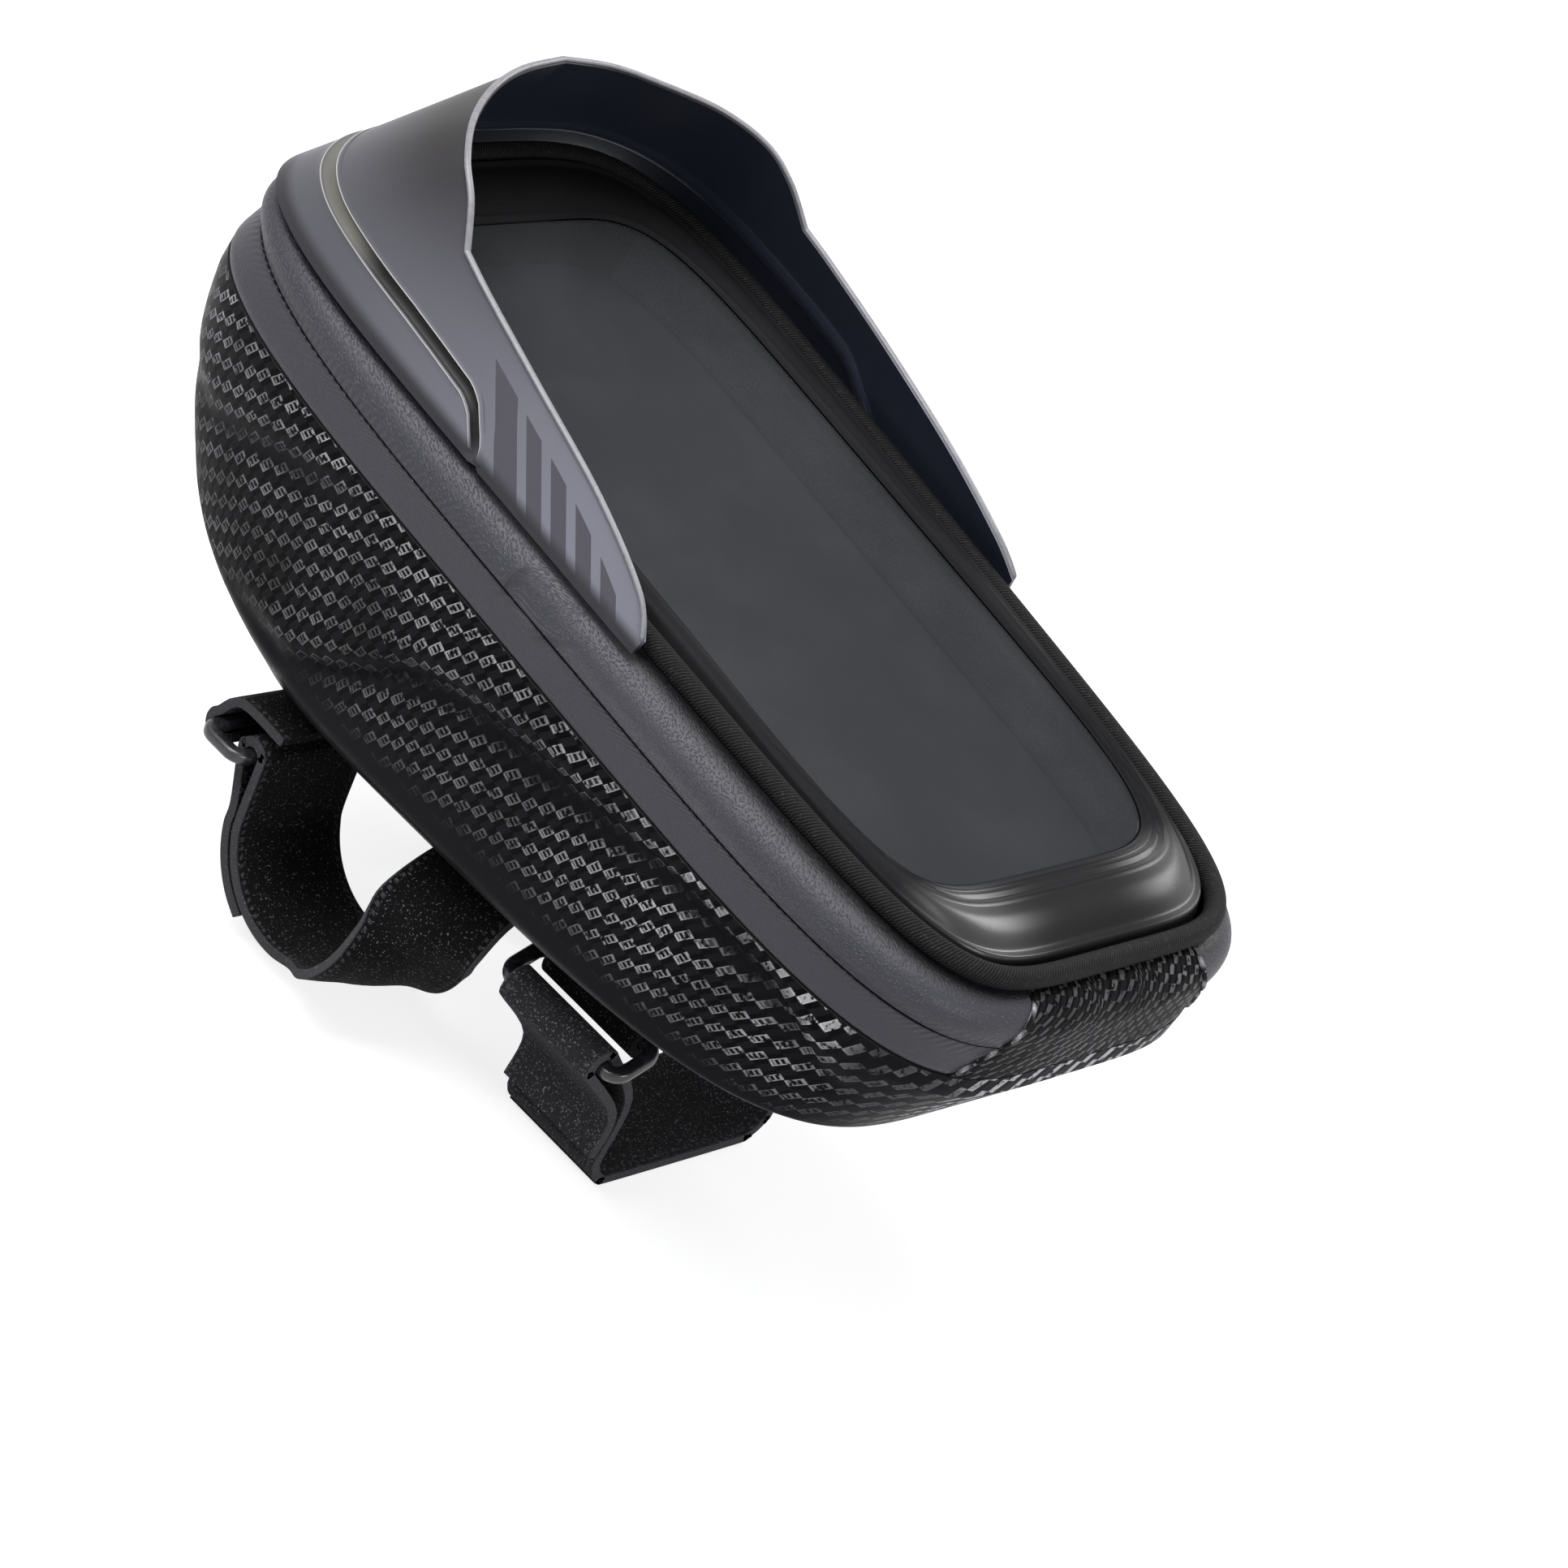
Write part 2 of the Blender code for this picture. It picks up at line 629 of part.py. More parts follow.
def build_sliders(bag):
    """Each slider has a front plate, a thin web through the slit, a back plate and a bail."""
    front, back = slider_places()
    web = ZIP_SLIT - 2 * GAP
    bail_y = front + SLIDER_PLATE + BAIL_REACH
    for side, name in ((-1, "left"), (1, "right")):
        x = side * SLIDER_SPACING / 2
        middle = Vector((x, (front + back) / 2, -ZIP_DROP))
        arm_length = BAIL_REACH + BAIL_RADIUS
        arm_y = front + SLIDER_PLATE + arm_length / 2 - BAIL_RADIUS / 2
        forms = [
            box_form((SLIDER_LENGTH, SLIDER_PLATE, SLIDER_HEIGHT),
                     (x, front + SLIDER_PLATE / 2, -ZIP_DROP)),
            box_form((SLIDER_LENGTH * WEB_SHARE, front - back + SLIDER_PLATE, web), middle),
            box_form((SLIDER_LENGTH, SLIDER_PLATE, SLIDER_HEIGHT), (x, back - SLIDER_PLATE / 2, -ZIP_DROP)),
            cylinder_form(BAIL_RADIUS, PULL_WIDTH - 2 * GAP, (x, bail_y, -ZIP_DROP), 12),
        ]
        for end in (-1, 1):
            arm_x = x + end * (PULL_WIDTH / 2 - BAIL_RADIUS)
            forms.append(box_form((2 * BAIL_RADIUS, arm_length, ARM_HEIGHT), (arm_x, arm_y, -ZIP_DROP)))
        mesh = union_mesh(bag, f"slider_{name}", forms)
        mesh.transform(Matrix.Translation((-x, -bail_y, ZIP_DROP)))
        slider = bag.add(f"slider_{name}", mesh, "slider_metal", bag.lid_plane)
        slider.location = (x, bail_y, -ZIP_DROP)
        build_pull(bag, name, slider)


def build_pull(bag, name, slider):
    """Pull tab that hangs straight down from the bail, whatever the lid's tilt."""
    eye_width = PULL_WIDTH - 4 * BAIL_RADIUS - 4 * GAP
    loop_outer = BAIL_RADIUS + GAP + BAIL_RADIUS
    tube = cylinder_form(loop_outer, eye_width, (0, 0, 0))
    neck = box_form((eye_width, PULL_THICKNESS, PULL_NECK), (0, 0, -loop_outer - PULL_DROP))
    blade = box_form((PULL_WIDTH, PULL_THICKNESS, PULL_BLADE), (0, 0, -PULL_LENGTH / 2 - PULL_DROP))
    mesh = union_mesh(bag, f"pull_{name}", [tube, neck, blade])
    pull = bag.add(f"pull_{name}", mesh, "pull_rubber", slider)
    pull.rotation_euler.x = -LID_TILT
    hole = cylinder_form(BAIL_RADIUS + GAP, PULL_WIDTH, (0, 0, 0))
    cut_through(bag, pull, hole)


def cut_through(bag, piece, form):
    """Cut a closed form out of a piece's mesh, in the piece's own frame."""
    mesh = bpy.data.meshes.new("cut")
    form.to_mesh(mesh)
    form.free()
    cutter = bpy.data.objects.new("cut", mesh)
    bag.collection.objects.link(cutter)
    cutter.matrix_world = Matrix.Identity(4)
    blank = bpy.data.objects.new("blank", piece.data)
    bag.collection.objects.link(blank)
    cut = blank.modifiers.new("cut", "BOOLEAN")
    cut.operation = "DIFFERENCE"
    cut.solver = "EXACT"
    cut.object = cutter
    evaluated = blank.evaluated_get(bpy.context.evaluated_depsgraph_get())
    piece.data = bpy.data.meshes.new_from_object(evaluated)
    bpy.data.objects.remove(cutter, do_unlink=True)
    bpy.data.objects.remove(blank, do_unlink=True)


# Phone pocket


def build_pocket(bag):
    """Foam rim that is open at the far end, a back panel and its fastening tab."""
    top = BORDER_THICKNESS + BORDER_DIP + GAP
    middle = PHONE_ROOM + POCKET_RIM / 2
    mouth = share_mouth(POCKET_MOUTH / 2)
    rows = []
    for depth in (top, top + POCKET_DEPTH):
        row = []
        for index in range(POCKET_COLUMNS + 1):
            share = mouth * (2 * index / POCKET_COLUMNS - 1)
            place = window_point(hinge_angle(share), middle)
            row.append(Vector((place.x, place.y, -depth)))
        rows.append(row)
    skin_piece(bag, "pocket_rim", rows, POCKET_RIM, "foam_black", bag.lid_hinge, closed=False, offset=0.0)

    outline = [window_point(angle_at(index / COLUMNS), middle) for index in range(COLUMNS)]
    back = bag.add("pocket_back", flat_plate("pocket_back", outline, POCKET_BACK), "lining_grey", bag.lid_hinge)
    back_top = top + POCKET_DEPTH + GAP
    back.location.z -= back_top + POCKET_BACK / 2

    tab = box_form((TAB_WIDTH, TAB_LENGTH, TAB_THICKNESS), (0, 0, 0))
    mesh = bpy.data.meshes.new("pocket_tab")
    tab.to_mesh(mesh)
    tab.free()
    piece = bag.add("pocket_tab", mesh, "strap_black", bag.lid_hinge)
    piece.location += Vector((0, WINDOW_LENGTH / 2 - TAB_LENGTH / 2,
                              -back_top - POCKET_BACK - GAP - TAB_THICKNESS / 2))


def share_mouth(half_width):
    """Share of the way round at which the pocket's rim stops beside its mouth."""
    across = half_width / (WINDOW_WIDTH / 2 + PHONE_ROOM)
    return share_at(math.acos(across ** (WINDOW_CORNERS[1] / 2)))


# Visor


def visor_rows():
    """Rows of the visor's outer skin from foot to edge, each running round the far end."""
    foot_loop = ring(PIPING_RADIUS + VISOR_THICKNESS + VISOR_STANDOFF, VISOR_FOOT_DROP, VISOR_CORNERS)
    side = smooth_path(VISOR_SIDE, 3)
    arch = smooth_path(VISOR_ARCH, 3)
    half = [Vector(point) for point in side[:-1] + arch]
    feet = []
    start = share_beside_y(foot_loop, half[0].y)
    lengths = [0.0]
    for one, other in zip(half, half[1:]):
        lengths.append(lengths[-1] + (other - one).length)
    corner_start = share_beside_y(foot_loop, VISOR_ARCH[0][1])
    kink = len(side) - 1
    for index, point in enumerate(half):
        if index <= kink:
            share = share_beside_y(foot_loop, point.y)
        else:
            part = (lengths[index] - lengths[kink]) / (lengths[-1] - lengths[kink])
            share = corner_start + (0.5 - corner_start) * part
        feet.append(ring_point(foot_loop, angle_at(max(share, start))))
    steps = [min(VISOR_STEP_HEIGHT / max(edge.z - foot.z, VISOR_STEP_HEIGHT), VISOR_STEP_LIMIT)
             for edge, foot in zip(half, feet)]
    rows = []
    for below, above, inward in VISOR_LEVELS:
        row = []
        for edge, foot, step in zip(half, feet, steps):
            up = step * below + above
            outward = Vector((foot.x, foot.y - LID_BACK, 0)).normalized()
            height = edge.z - foot.z
            lip = VISOR_STEP * min(max((height - VISOR_STEP_HEIGHT) / VISOR_STEP_HEIGHT, 0.0), 1.0)
            row.append(foot.lerp(edge, up) - outward * lip * inward * (1 - up))
        mirrored = [Vector((-point.x, point.y, point.z)) for point in reversed(row[:-1])]
        rows.append(row + mirrored)
    return rows


def share_beside_y(loop, y):
    """Share at which a loop's right side passes this y."""
    middle = (loop["far"] - loop["near"]) / 2
    half_length = (RIM_LENGTH + loop["far"] + loop["near"]) / 2
    along = (y - middle) / half_length
    corner = loop["corners"][1 if along > 0 else 0]
    angle = math.asin(signed_power(along, corner / 2))
    return share_at(angle)


def build_visor(bag):
    skin_piece(bag, "visor", visor_rows(), VISOR_THICKNESS, "visor_grey", bag.lid_hinge, closed=False,
               inside=Vector((0, 0, 0)))


# Shell


def smooth_step(low, high, value):
    part = min(max((value - low) / (high - low), 0.0), 1.0)
    return part * part * (3 - 2 * part)


def knee_point(angle):
    across, along = rounded(angle, KNEE_CORNERS)
    middle = (KNEE_FRONT - KNEE_REAR) / 2
    half_length = (KNEE_FRONT + KNEE_REAR) / 2
    end_height = KNEE_FRONT_HEIGHT if along > 0 else KNEE_REAR_HEIGHT
    height = KNEE_SIDE_HEIGHT + (end_height - KNEE_SIDE_HEIGHT) * abs(along) ** 3
    return Vector((KNEE_WIDTH / 2 * across, middle + half_length * along, height))


def base_point(angle):
    """Edge of the base, a little higher than the flat triangle in its middle."""
    across, along = rounded(angle, BASE_CORNERS)
    middle = (BASE_FRONT - BASE_REAR) / 2
    half_length = (BASE_FRONT + BASE_REAR) / 2
    return Vector((BASE_WIDTH / 2 * across, middle + half_length * along, BASE_DISH))


def shell_column(bag, angle):
    """Points down the shell at one angle: rim, land, crease, knee and the base's edge."""
    top_lid = ring_point(band_ring(BAND_DROP + GAP), angle)
    rim = bag.lid_matrix @ top_lid
    top_lid.z -= RIM_LAND
    top = bag.lid_matrix @ top_lid
    knee = knee_point(angle)
    base = base_point(angle)
    places, drops = zip(*CREASE_LINE)
    crease_drop = interpolate(places, drops, top_lid.y)
    knee_lid = bag.lid_matrix.inverted() @ knee
    full = top_lid.z - knee_lid.z
    part = (crease_drop + top_lid.z) / max(full, MM)
    width = CREASE_HALF_WIDTH / max(full, MM)
    part = min(max(part, CREASE_MARGIN * width), 1 - CREASE_MARGIN * width)
    across, along = rounded(angle, KNEE_CORNERS)
    side_share = smooth_step(*CREASE_SIDE_FADE, abs(across))
    fade = smooth_step(*CREASE_NEAR_FADE, top_lid.y) * (1 - smooth_step(*CREASE_FAR_FADE, top_lid.y))
    inward = Vector((-math.copysign(1.0, top.x), 0, 0)) * CREASE_DEPTH * side_share * fade
    swell = Vector((0, FAR_SWELL * smooth_step(*SWELL_FADE, along), 0))
    rows = [rim, top]
    for place, depth in ((part - width, 0.0), (part, 1.0), (part + width, 0.0)):
        rows.append(top.lerp(knee, place) + inward * depth + swell * math.sin(math.pi * place))
    rows.append(knee)
    rows.append(base.lerp(knee, TURN_SHARE) - Vector((0, 0, TURN_SAG * knee.z)))
    rows.append(base)
    return rows


def build_shell(bag):
    """Moulded tub, open at the top, with a flat triangle round the middle of its base."""
    columns = [shell_column(bag, angle_at(index / COLUMNS)) for index in range(COLUMNS)]
    rows = list(zip(*columns))
    mesh = mesh_from_rows("shell", rows, closed=True)
    form = bmesh.new()
    form.from_mesh(mesh)
    edges = [edge for edge in form.edges if edge.is_boundary and max(vert.co.z for vert in edge.verts) < MM]
    patch = [form.verts.new((*point, 0)) for point in arc((0, 0), BASE_PATCH, -30, 210, 2)]
    edges += [form.edges.new((patch[index - 1], patch[index])) for index in range(3)]
    bmesh.ops.triangle_fill(form, edges=edges, use_beauty=True)
    if not any(set(face.verts) == set(patch) for face in form.faces):
        form.faces.new(patch)
    bmesh.ops.recalc_face_normals(form, faces=form.faces)
    form.to_mesh(mesh)
    form.free()
    face_outward(mesh, Vector((0, 0, LID_HEIGHT / 2)))
    shade(mesh, 35)
    shell = bag.add("shell", mesh, "carbon_weave")
    thicken(shell, SHELL_WALL)


# Straps and rings


def ribbon(bag, name, rows, finish="strap_black", thickness=STRAP_THICKNESS):
    """Flat strap whose rows run from one edge to the other, centred on its thickness."""
    mesh = mesh_from_rows(name, rows, closed=False)
    shade(mesh, 60)
    piece = bag.add(name, mesh, finish)
    thicken(piece, thickness, 0.0)
    return piece


def arc(centre, radius, start, end, steps):
    """Points on a circle in the plane of the path, angles in degrees."""
    angles = [math.radians(start + (end - start) * index / steps) for index in range(steps + 1)]
    return [(centre[0] + radius * math.cos(angle), centre[1] + radius * math.sin(angle)) for angle in angles]


def tangent_angle(centre, radius, point, way):
    """Angle in degrees at which a straight run from the point meets a circle; way picks the side."""
    across, up = point[0] - centre[0], point[1] - centre[1]
    return math.degrees(math.atan2(up, across) + way * math.acos(radius / math.hypot(across, up)))


def bar_strap_rows(side):
    """Strap from under the base, twisted on to the bar, round it, through the ring and back."""
    inner = BAR_STRAP_X - BAR_STRAP_WIDTH / 2
    outer = BAR_STRAP_X + BAR_STRAP_WIDTH / 2
    first = BAR_RADIUS + GAP + STRAP_THICKNESS / 2
    under = -GAP - STRAP_THICKNESS / 2
    centre = (BAR_Y, -BAR_DROP)
    front, rear = BAR_Y - BAR_RADIUS, BAR_Y - BAR_RADIUS - BAR_STRAP_WIDTH * TWIST_SPREAD

    def edge_place(across, radius, degrees):
        y, z = arc(centre, radius, degrees, degrees, 1)[0]
        return Vector((across, y, z))

    rows = [[Vector((inner - STRAP_THICKNESS, front, under)), Vector((inner - STRAP_THICKNESS, rear, under))],
            [Vector(((inner + outer) / 2, front, under)), Vector(((inner + outer) / 2, rear, under))]]
    for step in range(TWIST_STEPS):
        part = step / TWIST_STEPS
        left = 1 - part
        rows.append([
            edge_place(outer + TWIST_BULGE * math.sin(math.pi * part), first + TWIST_FRONT_LIFT * left * left,
                       TWIST_FRONT_START + (WRAP_START - TWIST_FRONT_START) * part),
            edge_place(inner + TWIST_REAR_SHIFT * left, first + TWIST_REAR_LIFT * left ** TWIST_REAR_POWER,
                       TWIST_REAR_START + (WRAP_START - TWIST_REAR_START) * part ** TWIST_REAR_POWER)])

    path = arc(centre, first, WRAP_START, WRAP_END, 7)
    path += arc(ring_bar_place(), RING_WIRE + GAP + STRAP_THICKNESS / 2, 180, 0, 6)
    path += arc(centre, first + STRAP_THICKNESS + 2 * GAP, 0, FLAP_END, 5)
    rows += [[Vector((edge, y, z)) for edge in (outer, inner)] for y, z in path]
    return [[Vector((side * point.x, point.y, point.z)) for point in row] for row in rows]


def ring_bar_place():
    """Centre of the ring's bar that a strap turns round, in the strap's own plane."""
    across = BAR_Y + BAR_RADIUS + GAP + STRAP_THICKNESS + GAP + RING_WIRE + RING_CLEARANCE
    return across, -RING_DROP


def build_bar_straps(bag):
    for side, name in ((-1, "left"), (1, "right")):
        ribbon(bag, f"bar_strap_{name}", bar_strap_rows(side))
        build_bar_ring(bag, side, name)


def rounded_loop(half_long, half_short, corner, steps=3):
    """Points of a rounded rectangle, long side along the first axis."""
    points = []
    for turn, (sign_long, sign_short) in enumerate(((1, 1), (-1, 1), (-1, -1), (1, -1))):
        centre = (sign_long * (half_long - corner), sign_short * (half_short - corner))
        points += arc(centre, corner, 90 * turn, 90 * (turn + 1), steps)
    return points


def build_bar_ring(bag, side, name):
    """Flat ring at the strap's far side and the webbing tab that ties it to the base."""
    across, height = ring_bar_place()
    half_long = BAR_STRAP_WIDTH / 2 + RING_ROOM + RING_WIRE
    loop = rounded_loop(half_long, RING_DEPTH / 2, RING_CORNER)
    centre = Vector((side * BAR_STRAP_X, across + RING_DEPTH / 2, height))
    points = [centre + Vector((along, short, 0)) for along, short in loop]
    bag.add(f"bar_ring_{name}", curve_loop(f"bar_ring_{name}", points, RING_WIRE), "ring_gloss")

    far_bar = (across + RING_DEPTH, height)
    turn = RING_WIRE + GAP + STRAP_THICKNESS / 2
    under = -GAP - STRAP_THICKNESS / 2
    start = far_bar[0] - TAB_SEAT
    path = [(start, under), (start + TAB_SEAT * TAB_FLAT_SHARE, under)] + arc(far_bar, turn, *TAB_TURN, 7)
    tab_half = BAR_STRAP_WIDTH / 2
    rows = [[Vector((side * (BAR_STRAP_X + edge), y, z)) for edge in (tab_half, -tab_half)] for y, z in path]
    ribbon(bag, f"ring_tab_{name}", rows)


def build_stem_strap(bag):
    """Strap under the stem, from the base's right side to a ring on its left."""
    half = STEM_STRAP_WIDTH / 2
    edges = (STEM_STRAP_Y + half, STEM_STRAP_Y - half)
    under = -GAP - STRAP_THICKNESS / 2
    side = STEM_WIDTH / 2 + GAP + STRAP_THICKNESS / 2
    bottom = -STEM_HEIGHT - GAP - STRAP_THICKNESS / 2
    layer = STRAP_THICKNESS + 2 * GAP
    path = [(across, under) for across in STEM_SEAM]
    path += arc((side - STEM_TOP_BEND, under - STEM_TOP_BEND), STEM_TOP_BEND, 90, 0, 3)
    path += arc((side - STEM_BEND, bottom + STEM_BEND), STEM_BEND, 0, -90, 4)
    path += arc((-side + STEM_BEND, bottom + STEM_BEND), STEM_BEND, -90, -180, 4)
    inner_bar, outer_bar = stem_ring_bars()
    turn = RING_WIRE + GAP + STRAP_THICKNESS / 2
    rise = (-side, bottom / 2)
    fold, end = ((-side - layer, bottom * share) for share in (STEM_FOLD_SHARE, STEM_FLAP_SHARE))
    path += [rise]
    path += arc(outer_bar, turn, tangent_angle(outer_bar, turn, rise, 1),
                360 + tangent_angle(outer_bar, turn, fold, -1), 7)
    path += [fold, end]
    rows = [[Vector((across, edge, height)) for edge in edges] for across, height in path]
    ribbon(bag, "stem_strap", rows)

    half_long = half + RING_ROOM + RING_WIRE
    loop = rounded_loop(half_long, RING_DEPTH / 2, RING_CORNER)
    tilt = Matrix.Rotation(-STEM_RING_TILT, 4, "Y")
    middle = Vector(((inner_bar[0] + outer_bar[0]) / 2, STEM_STRAP_Y, (inner_bar[1] + outer_bar[1]) / 2))
    points = [middle + tilt @ Vector((short, along, 0)) for along, short in loop]
    bag.add("stem_ring", curve_loop("stem_ring", points, RING_WIRE), "ring_gloss")

    path = [(across, under) for across in STEM_TAB_SEAM]
    path += arc(inner_bar, turn, *STEM_TAB_TURN, 6)
    rows = [[Vector((across, edge, height)) for edge in edges] for across, height in path]
    ribbon(bag, "stem_ring_tab", rows)


def stem_ring_bars():
    """Centres of the stem ring's two long bars, in the strap's plane."""
    inner = Vector((-STEM_WIDTH / 2 - STEM_RING_ASIDE, -STEM_RING_DROP))
    reach = RING_DEPTH * Vector((-math.cos(STEM_RING_TILT), -math.sin(STEM_RING_TILT)))
    outer = inner + reach
    return tuple(inner), tuple(outer)


def main():
    clear_scene()
    bag = Bag()
    bpy.context.view_layer.update()
    build_shell(bag)
    build_bands(bag)
    build_zip(bag)
    build_hinge_panel(bag)
    build_lid_top(bag)
    build_visor(bag)
    build_pocket(bag)
    build_sliders(bag)
    build_bar_straps(bag)
    build_stem_strap(bag)


main()
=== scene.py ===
# %% [markdown]
# # A bike phone bag, dressed
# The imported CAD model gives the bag's bodies, joints and sizes. This notebook covers its plain
# solids with skins that have the real bag's fabric, leather grain, moulded plastic and zip.
# Everything is in metres, in the same frame as the CAD: +Y points forward, away from the rider.

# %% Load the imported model
import bisect
import math

import bmesh
import bpy
from mathutils import Matrix, Vector, noise


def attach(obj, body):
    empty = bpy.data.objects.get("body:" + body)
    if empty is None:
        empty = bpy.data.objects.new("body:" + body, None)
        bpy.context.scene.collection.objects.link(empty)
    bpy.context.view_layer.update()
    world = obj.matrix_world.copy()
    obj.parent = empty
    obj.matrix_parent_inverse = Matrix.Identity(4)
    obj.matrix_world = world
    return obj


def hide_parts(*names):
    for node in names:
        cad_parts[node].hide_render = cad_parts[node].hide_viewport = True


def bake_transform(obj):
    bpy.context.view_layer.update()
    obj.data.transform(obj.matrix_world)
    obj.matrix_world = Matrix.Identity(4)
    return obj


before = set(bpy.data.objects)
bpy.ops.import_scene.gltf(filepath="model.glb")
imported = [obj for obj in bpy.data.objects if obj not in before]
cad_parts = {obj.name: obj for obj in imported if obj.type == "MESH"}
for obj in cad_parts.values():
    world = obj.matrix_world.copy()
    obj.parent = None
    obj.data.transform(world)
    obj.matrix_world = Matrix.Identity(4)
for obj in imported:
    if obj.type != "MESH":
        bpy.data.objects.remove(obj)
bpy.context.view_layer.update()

MM = 0.001

# %% [markdown]
# ## Camera
# The photograph looks down on the bag's left side with a long lens. The camera was fitted to
# corners of the bag that show in the picture, so it is written here as plain numbers: a place,
# a turn and a focal length for a 36 mm wide sensor.

# %% Make the camera
CAMERA_PLACE = (-0.5785, -0.39008, 0.40176)
CAMERA_TURN = (58.557, -23.347, -45.449)
FOCAL_LENGTH = 105.185

lens = bpy.data.cameras.new("camera")
lens.lens = FOCAL_LENGTH
lens.sensor_width = 36.0
lens.clip_start = 0.01
camera = bpy.data.objects.new("camera", lens)
bpy.context.scene.collection.objects.link(camera)
camera.location = CAMERA_PLACE
camera.rotation_euler = [math.radians(turn) for turn in CAMERA_TURN]
bpy.context.scene.camera = camera
print("camera is", round(Vector(CAMERA_PLACE).length, 3), "m from the bag's base")

# %% [markdown]
# ## The lid's plane and its outlines
# The lid is tilted, and every loop round it (piping, band, zip) is the same rounded rectangle
# grown or shrunk a little. A superellipse gives that shape from one formula: the higher its
# power, the squarer its corners. The near and far corners have powers of their own.

# %% Sizes that the CAD model uses
GAP = 0.3 * MM
LID_TILT = math.radians(9.0)
LID_BACK = 19.0 * MM
LID = Matrix.Translation((0, -LID_BACK, 67.4 * MM)) @ Matrix.Rotation(LID_TILT, 4, "X")
BASE = Matrix.Identity(4)

RIM_LENGTH = 190.0 * MM
RIM_WIDTH = 90.0 * MM
RIM_TAPER = 8.0 * MM
RIM_CORNERS = (5.75, 5.1)
PIPING_RADIUS = 1.9 * MM

SHOULDER_START = 1.2 * MM
BAND_THICKNESS = 1.8 * MM
BAND_FAR_PULL = 1.5 * MM
BAND_NEAR_PULL = 1.8 * MM
ZIP_CORNERS = (4.5, 3.7)
BAND_CORNERS = (4.5, 4.4)
ZIP_DROP = 9.6 * MM
ZIP_SLIT = 1.0 * MM
BAND_DROP = 17.0 * MM
BAND_LAND = 1.5 * MM
SHOULDER_RADIUS = ZIP_DROP - ZIP_SLIT / 2 - PIPING_RADIUS - GAP


# %% Outlines
def signed_power(value, power):
    return math.copysign(abs(value) ** power, value)


def rounded(angle, corners):
    """Point of a unit rounded square: corner powers at the rider's end and at the far end."""
    power = 2.0 / (corners[1] if math.sin(angle) > 0 else corners[0])
    return signed_power(math.cos(angle), power), signed_power(math.sin(angle), power)


def ring(side, drop, corners=RIM_CORNERS, far_pull=0.0, near_pull=0.0):
    """A loop round the lid: how far it lies outside the piping, and how far below."""
    return {"side": side, "drop": drop, "corners": corners,
            "far": side - far_pull, "near": side - near_pull}


def loop_reach(loop):
    """Middle and half length of a loop, along the lid."""
    return (loop["far"] - loop["near"]) / 2, (RIM_LENGTH + loop["far"] + loop["near"]) / 2


def ring_point(loop, angle):
    across, along = rounded(angle, loop["corners"])
    middle, half_length = loop_reach(loop)
    half_width = (RIM_WIDTH + RIM_TAPER * along) / 2 + loop["side"]
    return Vector((half_width * across, middle + half_length * along, -loop["drop"]))


def mix_pair(start, end, part):
    return tuple(one + (other - one) * part for one, other in zip(start, end))


def band_outline(side, drop):
    """Loop on the band: squarer under the piping, rounder at the zip, and pulled in at both ends."""
    height = (ZIP_DROP - ZIP_SLIT / 2 - drop) / SHOULDER_RADIUS
    if height > 0:
        level = min(height, 1.0)
        corners = mix_pair(ZIP_CORNERS, RIM_CORNERS, level)
        fall = math.sqrt(1 - level * level)
    else:
        part = min((drop - ZIP_DROP) / (BAND_DROP - BAND_LAND - ZIP_DROP), 1.0)
        corners = mix_pair(ZIP_CORNERS, BAND_CORNERS, max(part, 0.0))
        fall = 1.0
    return ring(side, drop, corners, BAND_FAR_PULL * fall, BAND_NEAR_PULL * fall)


def shoulder_ring(turn, inset=0.0):
    """Loop on the band's rounded shoulder: turn 0 at the zip, 90 degrees under the piping."""
    radius = SHOULDER_RADIUS - inset
    return band_outline(SHOULDER_START + radius * math.cos(turn),
                        ZIP_DROP - ZIP_SLIT / 2 - radius * math.sin(turn))


def band_ring(drop, inset=0.0):
    """Loop on the upright part of the band, below the shoulder."""
    return band_outline(SHOULDER_START + SHOULDER_RADIUS - inset, drop)


# %% [markdown]
# Points spread evenly by angle would crowd the corners of a superellipse, so a table of how far
# round each angle lies is made once. It counts length and turning alike, which gives the corners
# enough points and the long sides no more than they need.

# %% Even spacing round the rim
def spacing_table(steps=1440):
    loop = ring(0.0, 0.0)
    angles = [-math.pi / 2 + 2 * math.pi * index / steps for index in range(steps + 1)]
    points = [ring_point(loop, angle) for angle in angles]
    lengths, turns = [0.0], [0.0]
    for index in range(1, steps + 1):
        step = points[index] - points[index - 1]
        after = points[(index + 1) % steps] - points[index % steps]
        lengths.append(lengths[-1] + step.length)
        turns.append(turns[-1] + (step.angle(after) if step.length * after.length > 0 else 0.0))
    shares = [(one / lengths[-1] + other / turns[-1]) / 2 for one, other in zip(lengths, turns)]
    return angles, shares


ANGLES, SHARES = spacing_table()


def interpolate(inputs, outputs, value):
    """Straight-line interpolation in a rising table, held at its ends."""
    place = bisect.bisect_left(inputs, value)
    if place <= 0:
        return outputs[0]
    if place >= len(inputs):
        return outputs[-1]
    part = (value - inputs[place - 1]) / (inputs[place] - inputs[place - 1])
    return outputs[place - 1] + part * (outputs[place] - outputs[place - 1])


def angle_at(share):
    """Angle of the point that lies this share of the way round, negative shares on the left."""
    angle = interpolate(SHARES, ANGLES, abs(share))
    return angle if share >= 0 else -math.pi - angle


def share_at(angle):
    return interpolate(ANGLES, SHARES, angle)


def share_beside(loop, half_width):
    """Share at which a loop leaves the rider's end at this distance from the middle."""
    across = min(half_width / ((RIM_WIDTH - RIM_TAPER) / 2 + loop["side"]), 1.0)
    return share_at(-math.acos(across ** (loop["corners"][0] / 2)))


